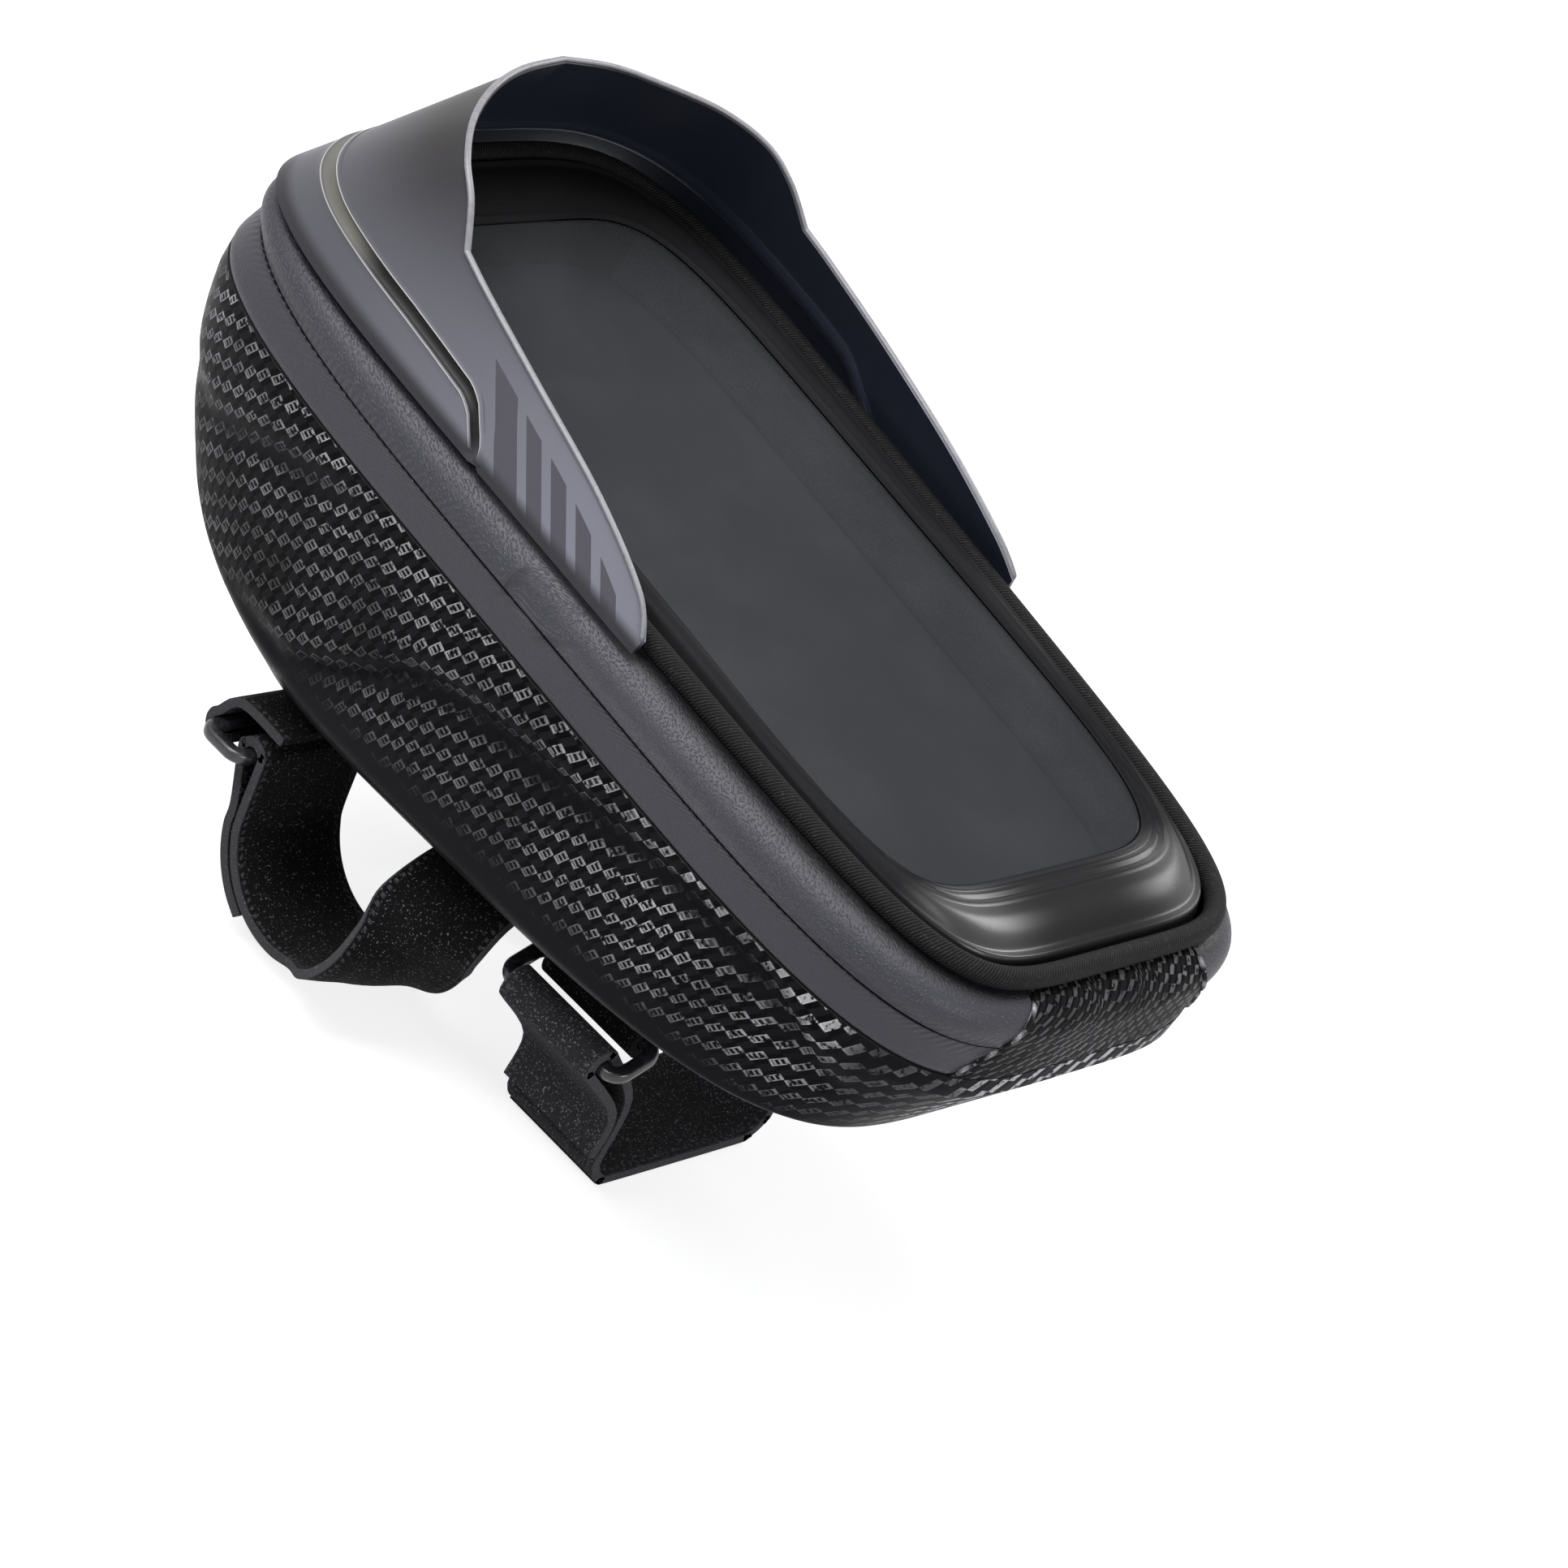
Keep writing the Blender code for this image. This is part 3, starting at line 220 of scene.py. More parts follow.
def open_row(loop, half_width, count):
    """Points from one end of the hinge panel round the far end to the other."""
    start = share_beside(loop, half_width)
    return [ring_point(loop, angle_at(start + (1 - 2 * start) * index / count))
            for index in range(count + 1)]


def smooth_step(low, high, value):
    """0 at low, 1 at high, which may be the smaller of the two."""
    part = min(max((value - low) / (high - low), 0.0), 1.0)
    return part * part * (3 - 2 * part)


def hump(distance, width):
    """A bell that is 1 at distance 0 and almost 0 at twice the width."""
    return math.exp(-(distance / width) ** 2)


def distances(points):
    """How far along a path each of its points lies."""
    far = [0.0]
    for one, other in zip(points, points[1:]):
        far.append(far[-1] + (other - one).length)
    return far


print("rim is", round(ring_point(ring(0, 0), 0).x * 2 / MM, 1), "mm wide at its middle")

# %% [markdown]
# ## Skins
# Each piece is a grid of points. The grid also gives a UV map in metres: how far along the piece
# and how far across it a point lies. A weave or a row of stitches drawn on that map keeps its real
# size wherever the piece bends. Masks are numbers kept on the points, such as how close a point is
# to the zip, and the materials read them by name.


# %% From rows of points to a mesh
def skin(name, rows, closed=False, reference=0, masks=None, place=LID, inside=None):
    """Grid mesh through rows of points. Its UV map is in metres, and each mask is a point attribute."""
    count = len(rows[0])
    columns = count if closed else count - 1
    along = [0.0]
    for column in range(columns):
        step = rows[reference][(column + 1) % count] - rows[reference][column]
        along.append(along[-1] + step.length)
    down = [[0.0] * count]
    for upper, lower in zip(rows, rows[1:]):
        down.append([before + (one - other).length for before, one, other in zip(down[-1], upper, lower)])

    mesh = bpy.data.meshes.new(name)
    faces = []
    for row in range(len(rows) - 1):
        for column in range(columns):
            after = (column + 1) % count
            faces.append((row * count + column, row * count + after,
                          (row + 1) * count + after, (row + 1) * count + column))
    mesh.from_pydata([tuple(place @ point) for row in rows for point in row], [], faces)
    uv_map = mesh.uv_layers.new(name="cloth")
    places = []
    for row in range(len(rows) - 1):
        for column in range(columns):
            after = (column + 1) % count
            places += [along[column], down[row][column], along[column + 1], down[row][after],
                       along[column + 1], down[row + 1][after], along[column], down[row + 1][column]]
    uv_map.data.foreach_set("uv", places)
    for label, value in (masks or {}).items():
        layer = mesh.attributes.new(label, "FLOAT", "POINT")
        layer.data.foreach_set("value", [value(row, column)
                                         for row in range(len(rows)) for column in range(count)])
    tidy_faces(mesh, inside)
    return mesh


SAME_POINT = 0.002 * MM


def tidy_faces(mesh, inside=None):
    """Merge points that lie on each other, and turn all faces away from a point inside."""
    form = bmesh.new()
    form.from_mesh(mesh)
    bmesh.ops.remove_doubles(form, verts=form.verts, dist=SAME_POINT)
    bmesh.ops.recalc_face_normals(form, faces=form.faces)
    if inside is not None:
        votes = sum((face.calc_center_median() - inside).dot(face.normal) * face.calc_area()
                    for face in form.faces)
        if votes < 0:
            bmesh.ops.reverse_faces(form, faces=form.faces)
    form.to_mesh(mesh)
    form.free()


SHARP_ANGLE = math.radians(42)


def make_piece(name, mesh, body, materials, stands_for=()):
    """Link a mesh as a piece that moves with a body and stands for the CAD nodes named."""
    piece = bpy.data.objects.new(name, mesh)
    bpy.context.scene.collection.objects.link(piece)
    for material in materials:
        mesh.materials.append(material)
    mesh.shade_smooth()
    mesh.set_sharp_from_angle(angle=SHARP_ANGLE)
    if body is not None:
        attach(piece, body)
    if stands_for:
        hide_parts(*stands_for)
    print(name, len(mesh.polygons), "faces")
    return piece


def thicken(piece, thickness, offset=-1.0, inner=0, rim=0):
    """Give a skin its wall, and apply it, so that the edges can be sharp."""
    wall = piece.modifiers.new("wall", "SOLIDIFY")
    wall.thickness = thickness
    wall.offset = offset
    wall.use_even_offset = offset != 0.0
    wall.material_offset = inner
    wall.material_offset_rim = rim
    evaluated = piece.evaluated_get(bpy.context.evaluated_depsgraph_get())
    mesh = bpy.data.meshes.new_from_object(evaluated)
    piece.modifiers.clear()
    old, piece.data = piece.data, mesh
    bpy.data.meshes.remove(old)
    mesh.set_sharp_from_angle(angle=SHARP_ANGLE)


# %% [markdown]
# Round things, such as piping, rings and zip coils, are tubes swept along a path. The profile is
# an ellipse, and its upright axis is given, so that a flat ring stays flat all the way round.


# %% Tubes
ROUND_END = 3


def tube_rows(path, ups, half_width, half_height, sides=12, closed=False, power=1.0):
    """Rows for a swept tube, one row for each step round its profile. Open ends are rounded off."""
    count = len(path)
    frames = []
    for index, point in enumerate(path):
        before = path[(index - 1) % count] if closed or index > 0 else point
        after = path[(index + 1) % count] if closed or index < count - 1 else point
        tangent = (after - before).normalized()
        side = tangent.cross(ups[index]).normalized()
        frames.append((point, side, side.cross(tangent)))
    ends = 0 if closed else ROUND_END
    rows = []
    for turn in range(sides + 1):
        angle = 2 * math.pi * turn / sides
        across, up = signed_power(math.cos(angle), power), signed_power(math.sin(angle), power)
        row = []
        for index, (point, side, normal) in enumerate(frames):
            edge = min(index, count - 1 - index)
            scale = 1.0 if edge >= ends else math.sqrt(1 - (1 - edge / ends) ** 2)
            row.append(point + side * half_width * across * scale + normal * half_height * up * scale)
        rows.append(row)
    return rows


def smooth_path(points, steps):
    """Catmull-Rom curve through points, with this many steps for each span."""
    path = []
    last = len(points) - 1
    for index in range(last):
        before, start, end = points[max(index - 1, 0)], points[index], points[index + 1]
        after = points[min(index + 2, last)]
        for step in range(steps):
            t = step / steps
            slope = (end - before) * t
            bend = (2 * before - 5 * start + 4 * end - after) * t * t
            twist = (3 * start - before - 3 * end + after) * t ** 3
            path.append(0.5 * (2 * start + slope + bend + twist))
    path.append(points[-1].copy())
    return path


# %% [markdown]
# ## Writing materials as sums
# A material is a net of nodes, and long nets are hard to read. Here a small class wraps one
# socket, so that `1 - mask * 2` writes the Math nodes itself. Every other node comes from one
# method of the surface. Colours are mixed with Mix nodes, because a Math node turns them grey.


# %% Shader maths
class Wire:
    """A number, vector or colour on its way through a material."""

    def __init__(self, surface, socket):
        self.surface, self.socket = surface, socket

    def math(self, operation, *values):
        return self.surface.node("ShaderNodeMath", {"operation": operation}, dict(enumerate(values)))

    def __add__(self, other):
        return self.math("ADD", self, other)

    __radd__ = __add__

    def __sub__(self, other):
        return self.math("SUBTRACT", self, other)

    def __rsub__(self, other):
        return self.math("SUBTRACT", other, self)

    def __mul__(self, other):
        return self.math("MULTIPLY", self, other)

    __rmul__ = __mul__

    def __pow__(self, other):
        return self.math("POWER", self, other)

    def __abs__(self):
        return self.math("ABSOLUTE", self)

    def __gt__(self, other):
        return self.math("GREATER_THAN", self, other)

    def __lt__(self, other):
        return self.math("LESS_THAN", self, other)

    def fraction(self):
        return self.math("FRACT", self)

    def wave(self):
        return self.math("SINE", self)

    def larger(self, other):
        return self.math("MAXIMUM", self, other)

    def smaller(self, other):
        return self.math("MINIMUM", self, other)

    def rise(self, low, high):
        """0 below low, 1 above high, and smooth between."""
        return self.surface.node("ShaderNodeMapRange",
                                 {"interpolation_type": "SMOOTHSTEP"},
                                 {"Value": self, "From Min": low, "From Max": high})

    def bell(self, middle, width):
        """1 at the middle, falling smoothly to 0 at this distance from it."""
        return 1 - abs(self - middle).rise(0.0, width)


class Surface:
    """One material: its nodes, and the shader that they end in."""

    def __init__(self, name):
        self.material = bpy.data.materials.new(name)
        self.material.use_nodes = True
        self.tree = self.material.node_tree
        self.shader = self.tree.nodes["Principled BSDF"]

    def node(self, kind, settings=None, values=None, output=0):
        """Any node: its settings come first, then the values or wires of its sockets."""
        made = self.tree.nodes.new(kind)
        for label, setting in (settings or {}).items():
            setattr(made, label, setting)
        for label, value in (values or {}).items():
            if isinstance(value, Wire):
                self.tree.links.new(value.socket, made.inputs[label])
            else:
                made.inputs[label].default_value = value
        return Wire(self, made.outputs[output])

    def cloth(self):
        """How far along and how far across the piece, in metres."""
        place = self.node("ShaderNodeUVMap", {"uv_map": "cloth"})
        return [self.node("ShaderNodeSeparateXYZ", None, {0: place}, axis) for axis in (0, 1)]

    def mask(self, label):
        """A number kept on the piece's points."""
        return self.node("ShaderNodeAttribute", {"attribute_name": label}, None, "Fac")

    def object_place(self):
        return self.node("ShaderNodeTexCoord", None, None, "Object")

    def noise(self, scale, detail=2.0, roughness=0.5, place=None):
        values = {"Vector": place or self.object_place(), "Scale": scale,
                  "Detail": detail, "Roughness": roughness}
        return self.node("ShaderNodeTexNoise", None, values, "Fac")

    def cells(self, scale):
        """Distance to the middle of the nearest of many small cells."""
        return self.node("ShaderNodeTexVoronoi", {"feature": "F1"},
                         {"Vector": self.object_place(), "Scale": scale}, "Distance")

    def vector(self, *parts):
        return self.node("ShaderNodeCombineXYZ", None, dict(enumerate(parts)))

    def mix(self, part, one, other):
        """Colour mixed from one to the other as part goes from 0 to 1."""
        values = {0: part, 6: one if isinstance(one, Wire) else (*one, 1.0),
                  7: other if isinstance(other, Wire) else (*other, 1.0)}
        return self.node("ShaderNodeMix", {"data_type": "RGBA"}, values, 2)

    def bump(self, height, distance, strength=1.0):
        return self.node("ShaderNodeBump", None,
                         {"Height": height, "Distance": distance, "Strength": strength})

    def feed(self, label, value):
        """Link a wire to one of the shader's sockets, or write a plain value there."""
        if isinstance(value, Wire):
            self.tree.links.new(value.socket, self.shader.inputs[label])
        elif value is not None:
            self.shader.inputs[label].default_value = (*value, 1.0) if label == "Base Color" else value

    def finish(self, colour, roughness, normal=None, **others):
        """Send the sums to the shader. Plain values are the same all over the surface."""
        self.feed("Base Color", colour)
        self.feed("Roughness", roughness)
        self.feed("Normal", normal)
        for label, value in others.items():
            self.feed(label.replace("_", " ").title().replace("Ior", "IOR"), value)
        return self.material

    def shaded(self):
        """The shader's own result, to mix with another one."""
        return Wire(self, self.shader.outputs[0])

    def end_in(self, wire, output="Material Output"):
        """Let the surface end in this mix of shaders."""
        self.tree.links.new(wire.socket, self.tree.nodes[output].inputs["Surface"])


# %% [markdown]
# ## The embossed weave
# The shell is moulded foam with a coated fabric on it. The mould presses slanted rows of small
# lozenges into the coat. Each is a raised outline with three or four strokes in it, like the
# threads of a coarse weave. Its glints are a painted highlight: the outline is coloured light grey,
# most where a mask of glint strength says, while the rest stays nearly black. Fainter
# lozenges lie between the rows. The sum first works out where a point lies in its cell of a
# slanted grid, then turns that into shares of the lozenge's own two half sides.

# %% Weave material
LOZENGE_SIDES = ((0.977, 0.211), (0.54, -0.84))
STROKES = 3.5


def weave(name, row_step, next_row, halves, glint, light, stroked=True, turns=None):
    """Slanted grid of raised lozenges with painted glints. Its two steps and the lozenge's half sides are in
    millimetres.

    turns gives how many cells there are to a metre along the piece, where the grid has to close."""
    surface = Surface(name)
    along, down = surface.cloth()
    (a, b), (c, d) = row_step, next_row
    (long_x, long_y), (short_x, short_y) = LOZENGE_SIDES
    area = (a * d - b * c) * MM
    turned = long_x * short_y - long_y * short_x
    wobble = (surface.noise(90.0, 1.0) - 0.5) * 0.3
    first = along * (d / area if turns is None else turns[0]) - down * (c / area) + wobble
    second = down * (a / area) - along * (b / area if turns is None else turns[1]) + wobble

    def lozenge(shift):
        """Where a point lies in its lozenge: 0 in the middle, 1 at the sides."""
        x, y = (first + shift).fraction() - 0.5, (second + shift).fraction() - 0.5
        right, below = x * a + y * c, x * b + y * d
        return [(right * short_y - below * short_x) * (1 / turned / halves[0]),
                (below * long_x - right * long_y) * (1 / turned / halves[1])]

    u, v = lozenge(0.0)
    edge = abs(u).larger(abs(v))
    outer = 1 - edge.rise(0.86, 1.02)
    strokes = ((v * (math.pi * STROKES)).wave() * 0.5 + 0.5).rise(0.35, 0.85)
    # Painted highlight: where the glint strength kept on the points is high, whole lozenges are filled in
    # light.
    glint_fill = surface.mask("painted_glint").rise(0.8, 1.1) * 0.7
    marks = edge.rise(0.58, 0.78).larger(strokes * 0.75).larger(glint_fill)
    rim = outer * marks if stroked else outer
    broken = surface.noise(1100.0, 1.0).rise(0.30, 0.52)
    raised = surface.mask("weave")
    patches = surface.noise(55.0, 2.0).rise(0.25, 0.7)
    # Painted highlight: the glints of the raised outlines go into the base colour, as the light grey given,
    # scaled by glint.
    painted_glints = rim * broken * raised * (0.25 + 0.75 * patches) * (0.3 + surface.mask("painted_glint"))
    faint_u, faint_v = lozenge(0.5)
    faint = (1 - abs(faint_u).larger(abs(faint_v)).rise(0.75, 1.0)) * raised
    grain = surface.noise(2600.0, 2.0)
    smooth = surface.mix(1 - raised, (0.002, 0.002, 0.0024), (0.009, 0.009, 0.0105))
    ground = surface.mix(faint * 0.6, smooth, (0.016, 0.016, 0.018))
    colour = surface.mix((painted_glints * glint).smaller(1.0), ground, (light, light, light * 1.03))
    height = rim * raised * 0.8 + faint * 0.3 + grain * 0.12
    normal = surface.bump(height, 0.25 * MM, 0.8)
    rough = 0.5 - 0.1 * (1 - raised) - 0.12 * rim
    return surface.finish(colour, rough, normal, specular_ior_level=0.03)


# %% [markdown]
# ## Shell
# The tub below the band. Its wall drops from the rim to a knee, then turns under to the flat base.
# A moulded crease runs along each side, and the weave stops in it, because the mould is smooth
# there. The wall is made column by column, with a few smoothing passes round the knee.

# %% Shell's sizes
SHELL_WALL = 3.0 * MM
RIM_LAND = 4.0 * MM
KNEE_WIDTH, KNEE_FRONT, KNEE_REAR = 97.0 * MM, 79.5 * MM, 103.0 * MM
KNEE_SIDE_HEIGHT, KNEE_FRONT_HEIGHT, KNEE_REAR_HEIGHT = 9.0 * MM, 36.0 * MM, 14.0 * MM
KNEE_CORNERS = (5.0, 4.3)
BASE_WIDTH, BASE_FRONT, BASE_REAR = 72.0 * MM, 50.0 * MM, 49.0 * MM
BASE_CORNERS = (4.5, 4.5)
FAR_SWELL = 3.0 * MM
CREASE_DEPTH, CREASE_WIDTH = 2.2 * MM, 2.8 * MM
RIDGE_HEIGHT, RIDGE_WIDTH, RIDGE_RISE = 0.9 * MM, 3.6 * MM, 6.0 * MM
VALLEY_DEPTH, VALLEY_WIDTH = 0.9 * MM, 3.2 * MM
CREASE_LINE = [(-84, 29), (-70, 22), (-50, 21.5), (-23, 27), (0, 32), (12, 37), (24, 49), (38, 60)]
VALLEY_LINE = [(30, 19), (42, 24), (54.7, 29), (64.7, 33.5), (76.4, 39)]
LID_BACKWARD = LID.inverted()


def end_point(angle, width, front, rear, corners):
    """Point of the knee or the base, which reach further forward than back or the other way."""
    across, along = rounded(angle, corners)
    return Vector((width / 2 * across, (front - rear) / 2 + (front + rear) / 2 * along, 0.0)), across, along


def line_drop(line, y):
    """How far below the lid a line drawn in millimetres runs at this y."""
    places, drops = zip(*line)
    return interpolate(places, drops, y / MM) * MM


# %% Wall of one column
WALL_STEPS = 46
TURN_STEPS = 12
SMOOTHING_PASSES = 3


def shell_column(angle):
    """Points down the shell's outside, with the weave's strength and shine at each."""
    top_lid = ring_point(band_ring(BAND_DROP + GAP), angle)
    rim = LID @ top_lid
    top_lid.z -= RIM_LAND
    top = LID @ top_lid
    knee, across, along = end_point(angle, KNEE_WIDTH, KNEE_FRONT, KNEE_REAR, KNEE_CORNERS)
    end_height = KNEE_FRONT_HEIGHT if along > 0 else KNEE_REAR_HEIGHT
    knee.z = KNEE_SIDE_HEIGHT + (end_height - KNEE_SIDE_HEIGHT) * abs(along) ** 3
    base = end_point(angle, BASE_WIDTH, BASE_FRONT, BASE_REAR, BASE_CORNERS)[0]
    side_share = smooth_step(0.5, 0.95, abs(across))
    swell = FAR_SWELL * smooth_step(0.0, 0.9, along)
    inward = Vector((-math.copysign(1.0, top.x), 0, 0))
    points = [rim, rim.lerp(top, 0.5)]
    for step in range(WALL_STEPS + 1):
        part = step / WALL_STEPS
        point = top.lerp(knee, part) + Vector((0, swell * math.sin(math.pi * part), 0))
        lid_place = LID_BACKWARD @ point
        fade = smooth_step(-94 * MM, -76 * MM, lid_place.y) * (1 - smooth_step(34 * MM, 62 * MM, lid_place.y))
        below = -lid_place.z - line_drop(CREASE_LINE, lid_place.y)
        dent = CREASE_DEPTH * hump(below, CREASE_WIDTH)
        dent -= RIDGE_HEIGHT * hump(below + RIDGE_RISE, RIDGE_WIDTH)
        valley = -lid_place.z - line_drop(VALLEY_LINE, lid_place.y)
        dent_far = VALLEY_DEPTH * hump(valley, VALLEY_WIDTH) * smooth_step(28 * MM, 50 * MM, lid_place.y)
        points.append(point + inward * side_share * (dent * fade + dent_far))
    control = base.lerp(knee, 0.12) - Vector((0, 0, 0.06 * knee.z))
    for step in range(1, TURN_STEPS + 1):
        part = step / TURN_STEPS
        points.append(knee.lerp(control, part).lerp(control.lerp(base, part), part))
    for _ in range(SMOOTHING_PASSES):
        for index in range(WALL_STEPS - 6, WALL_STEPS + TURN_STEPS - 4):
            points[index] = (points[index - 1] + points[index] * 2 + points[index + 1]) / 4
    return points + [base * share for share in (0.8, 0.6, 0.4, 0.2, 0.0)]


def weave_strength(point, angle):
    """1 where the mould is woven, 0 in the crease, in the valley, along the bottom and at the far end."""
    place = LID_BACKWARD @ point
    below = -place.z - line_drop(CREASE_LINE, place.y)
    valley = -place.z - line_drop(VALLEY_LINE, place.y)
    sides = smooth_step(36 * MM, 47 * MM, abs(point.x))
    crease = hump(below - 0.5 * MM, 3.0 * MM) * smooth_step(-92 * MM, -80 * MM, place.y) * sides
    far_valley = hump(valley, 3.4 * MM) * smooth_step(30 * MM, 46 * MM, place.y) * sides
    bottom = smooth_step(13 * MM, 22 * MM, point.z)
    corner = smooth_step(-80 * MM, -90 * MM, place.y) * smooth_step(20 * MM, 31 * MM, abs(point.x))
    far_end = smooth_step(0.80, 0.90, rounded(angle, KNEE_CORNERS)[1])
    return (1 - crease) * (1 - 0.85 * far_valley) * bottom * (1 - 0.9 * corner) * (1 - far_end)


def shell_painted_glint(point):
    """Strength of the painted glints on the weave: stronger just under the band and towards the rider's end.
    """
    place = LID_BACKWARD @ point
    under_band = hump(-place.z - BAND_DROP, 16 * MM)
    rider_end = smooth_step(-86 * MM, -95 * MM, place.y)
    return 0.12 + 0.35 * smooth_step(20 * MM, -80 * MM, place.y) + 0.6 * under_band + 1.1 * rider_end


# %% Build the shell
SHELL_COLUMNS = 288
WALL_ROW = (3.57, -2.27)
WALL_NEXT = (2.07, 3.2)
WALL_HALVES = (0.9, 1.8)
ROUNDS = (118, -83)
shell_angles = [angle_at(index / SHELL_COLUMNS) for index in range(SHELL_COLUMNS)]
columns = [shell_column(angle) for angle in shell_angles]
shell_rows = list(zip(*columns))
round_length = distances(shell_rows[2] + shell_rows[2][:1])[-1]
print("way round the shell's rim:", round(round_length / MM), "mm")

weave_wall = weave("embossed_weave", WALL_ROW, WALL_NEXT, WALL_HALVES, 0.95, 0.62,
                   turns=(ROUNDS[0] / round_length, ROUNDS[1] / round_length))


# %% Lining, and the finished shell
def lining(name, dark, light):
    """Short-napped cloth inside the shell and the pocket."""
    surface = Surface(name)
    nap = surface.noise(1800.0, 3.0, 0.7)
    colour = surface.mix(nap, (dark, dark, dark * 1.08), (light, light, light * 1.08))
    return surface.finish(colour, 0.92, surface.bump(nap, 0.02 * MM, 0.15), specular_ior_level=0.03)


LINING = lining("napped_lining", 0.014, 0.040)
SHELL_MASKS = {
    "weave": lambda row, column: weave_strength(shell_rows[row][column], shell_angles[column]),
    # Painted highlight: this mask sets how bright the painted glints are.
    "painted_glint": lambda row, column: shell_painted_glint(shell_rows[row][column])}
mesh = skin("shell_skin", shell_rows, closed=True, reference=2, place=BASE,
            masks=SHELL_MASKS, inside=Vector((0, 0, 34 * MM)))
shell = make_piece("shell_skin", mesh, "bag", [weave_wall, LINING], ["shell"])
thicken(shell, SHELL_WALL, inner=1, rim=1)

# %% [markdown]
# ## Band
# A strip of coated leather cloth over thin foam, rolled over at the top and split by the zip.
# Its coat has a fine grain, tiny slanted wrinkles where it rolls over, and puckers where the zip's
# stitches draw it in. The strip is modelled as it is, and those marks are bumps drawn on its UV map.


# %% Leather-cloth material
def band_cloth():
    surface = Surface("coated_band")
    along, down = surface.cloth()
    seam = surface.mask("seam")
    grain = surface.cells(1500.0)
    slant = surface.vector(along * 1100.0 + down * 900.0, down * 2400.0 - along * 1500.0, 0.0)
    ticks = surface.noise(1.0, 1.0, 0.4, slant).rise(0.5, 0.72)
    near_seam = 1 - seam.rise(0.3 * MM, 3.2 * MM)
    rolled = surface.mask("rolled")
    pucker = ((along * (2 * math.pi / (1.7 * MM)) + down * 1500.0).wave() * 0.5 + 0.5) * near_seam
    wear = surface.noise(35.0, 3.0, 0.6)
    mottle = surface.mix(wear, (0.024, 0.024, 0.033), (0.034, 0.034, 0.045))
    lightened = surface.mix(ticks * rolled * 0.2, mottle, (0.12, 0.12, 0.145))
    # Painted shade: the colour goes nearly black in the zip's slit and just under the piping.
    colour = surface.mix(surface.mask("slit_and_piping_shade"), lightened, (0.008, 0.008, 0.009))
    height = grain * 0.25 + ticks * (0.35 + 0.9 * rolled) + pucker * 1.6
    normal = surface.bump(height, 0.16 * MM, 0.75)
    rough = 0.40 + grain * 0.1 - ticks * 0.05
    return surface.finish(colour, rough, normal, specular_ior_level=0.4)


# %% Build both halves of the band
HINGE_HALF_TOP = 21.5 * MM
HINGE_HALF_BOTTOM = 31.5 * MM
SEAM_GAP = 0.5 * MM
BAND_FINE = 460
SLIT_HALF = 0.17 * MM
SLIT_LEFT = 0.04 * MM
SLIT_SHUT = 6.0 * MM
TOP_TURN = math.radians(98)
UNDER_BAND = LID @ Vector((0, 0, -9 * MM))
BAND_CLOTH = band_cloth()


def seam_half_width(drop):
    """Half width of the hinge panel at this drop below the piping."""
    part = (drop - PIPING_RADIUS) / (BAND_DROP - PIPING_RADIUS)
    return HINGE_HALF_TOP + (HINGE_HALF_BOTTOM - HINGE_HALF_TOP) * part


def band_piece(name, loops, body, node):
    """Half of the band. Its slit is all but shut near both ends, where the zip stops."""
    rows = [open_row(loop, seam_half_width(loop["drop"]) + SEAM_GAP, BAND_FINE) for loop in loops]
    drops = [loop["drop"] for loop in loops]
    for drop, row in zip(drops, rows):
        for column, point in enumerate(row):
            way = min((point - row[0]).length, (point - row[-1]).length)
            shut = (1 - smooth_step(SLIT_SHUT, 3 * SLIT_SHUT, way)) * (SLIT_HALF - SLIT_LEFT)
            point.z += math.copysign(shut, drop - ZIP_DROP) * hump(drop - ZIP_DROP, 1.2 * MM)
    masks = {"seam": lambda row, column: abs(drops[row] - ZIP_DROP),
             "rolled": lambda row, column: hump(drops[row] - 5.2 * MM, 2.6 * MM),
             # Painted shade: 1 in the zip's slit and just under the piping.
             "slit_and_piping_shade": lambda row, column: max(hump(drops[row] - ZIP_DROP, 0.3 * MM),
                                                  1 - smooth_step(1.9 * MM, 3.2 * MM, drops[row]))}
    mesh = skin(name, rows, reference=len(rows) // 2, masks=masks, inside=UNDER_BAND)
    piece = make_piece(name, mesh, body, [BAND_CLOTH], [node])
    thicken(piece, BAND_THICKNESS - 0.2 * MM)


upper = [shoulder_ring(TOP_TURN * (1 - step / 20)) for step in range(21)]
upper += [band_ring(ZIP_DROP - SLIT_HALF - 0.08 * MM), band_ring(ZIP_DROP - SLIT_HALF, 0.25 * MM)]
band_piece("lid_band_skin", upper, "lid", "lid_band")
lower_drops = [ZIP_DROP + SLIT_HALF + 0.08 * MM + (BAND_DROP - ZIP_DROP - 1.0 * MM) * step / 12
               for step in range(13)]
lower = [band_ring(ZIP_DROP + SLIT_HALF, 0.25 * MM)] + [band_ring(drop) for drop in lower_drops]
lower += [band_ring(BAND_DROP - 0.15 * MM, 0.2 * MM), band_ring(BAND_DROP, 0.6 * MM)]
band_piece("shell_band_skin", lower, "bag", "shell_band")

# %% [markdown]
# ## Hinge panel
# Between the band's ends the bag's own fabric runs on up to the lid, and it is the hinge: it folds
# along its bottom edge. Its top is gathered under the piping, which crimps it.

# %% Build the hinge panel
PANEL_ROW, PANEL_NEXT, PANEL_HALVES = (2.3, -1.3), (1.2, 2.1), (0.6, 1.05)
panel_weave = weave("hinge_fabric", PANEL_ROW, PANEL_NEXT, PANEL_HALVES, 0.8, 0.22, stroked=False)
PANEL_COLUMNS = 72
PANEL_ROWS = 36
SHOULDER_SHARE = 0.6
HINGE_THICKNESS = 1.6 * MM
CRIMP, RIPPLE = 0.45 * MM, 0.2 * MM


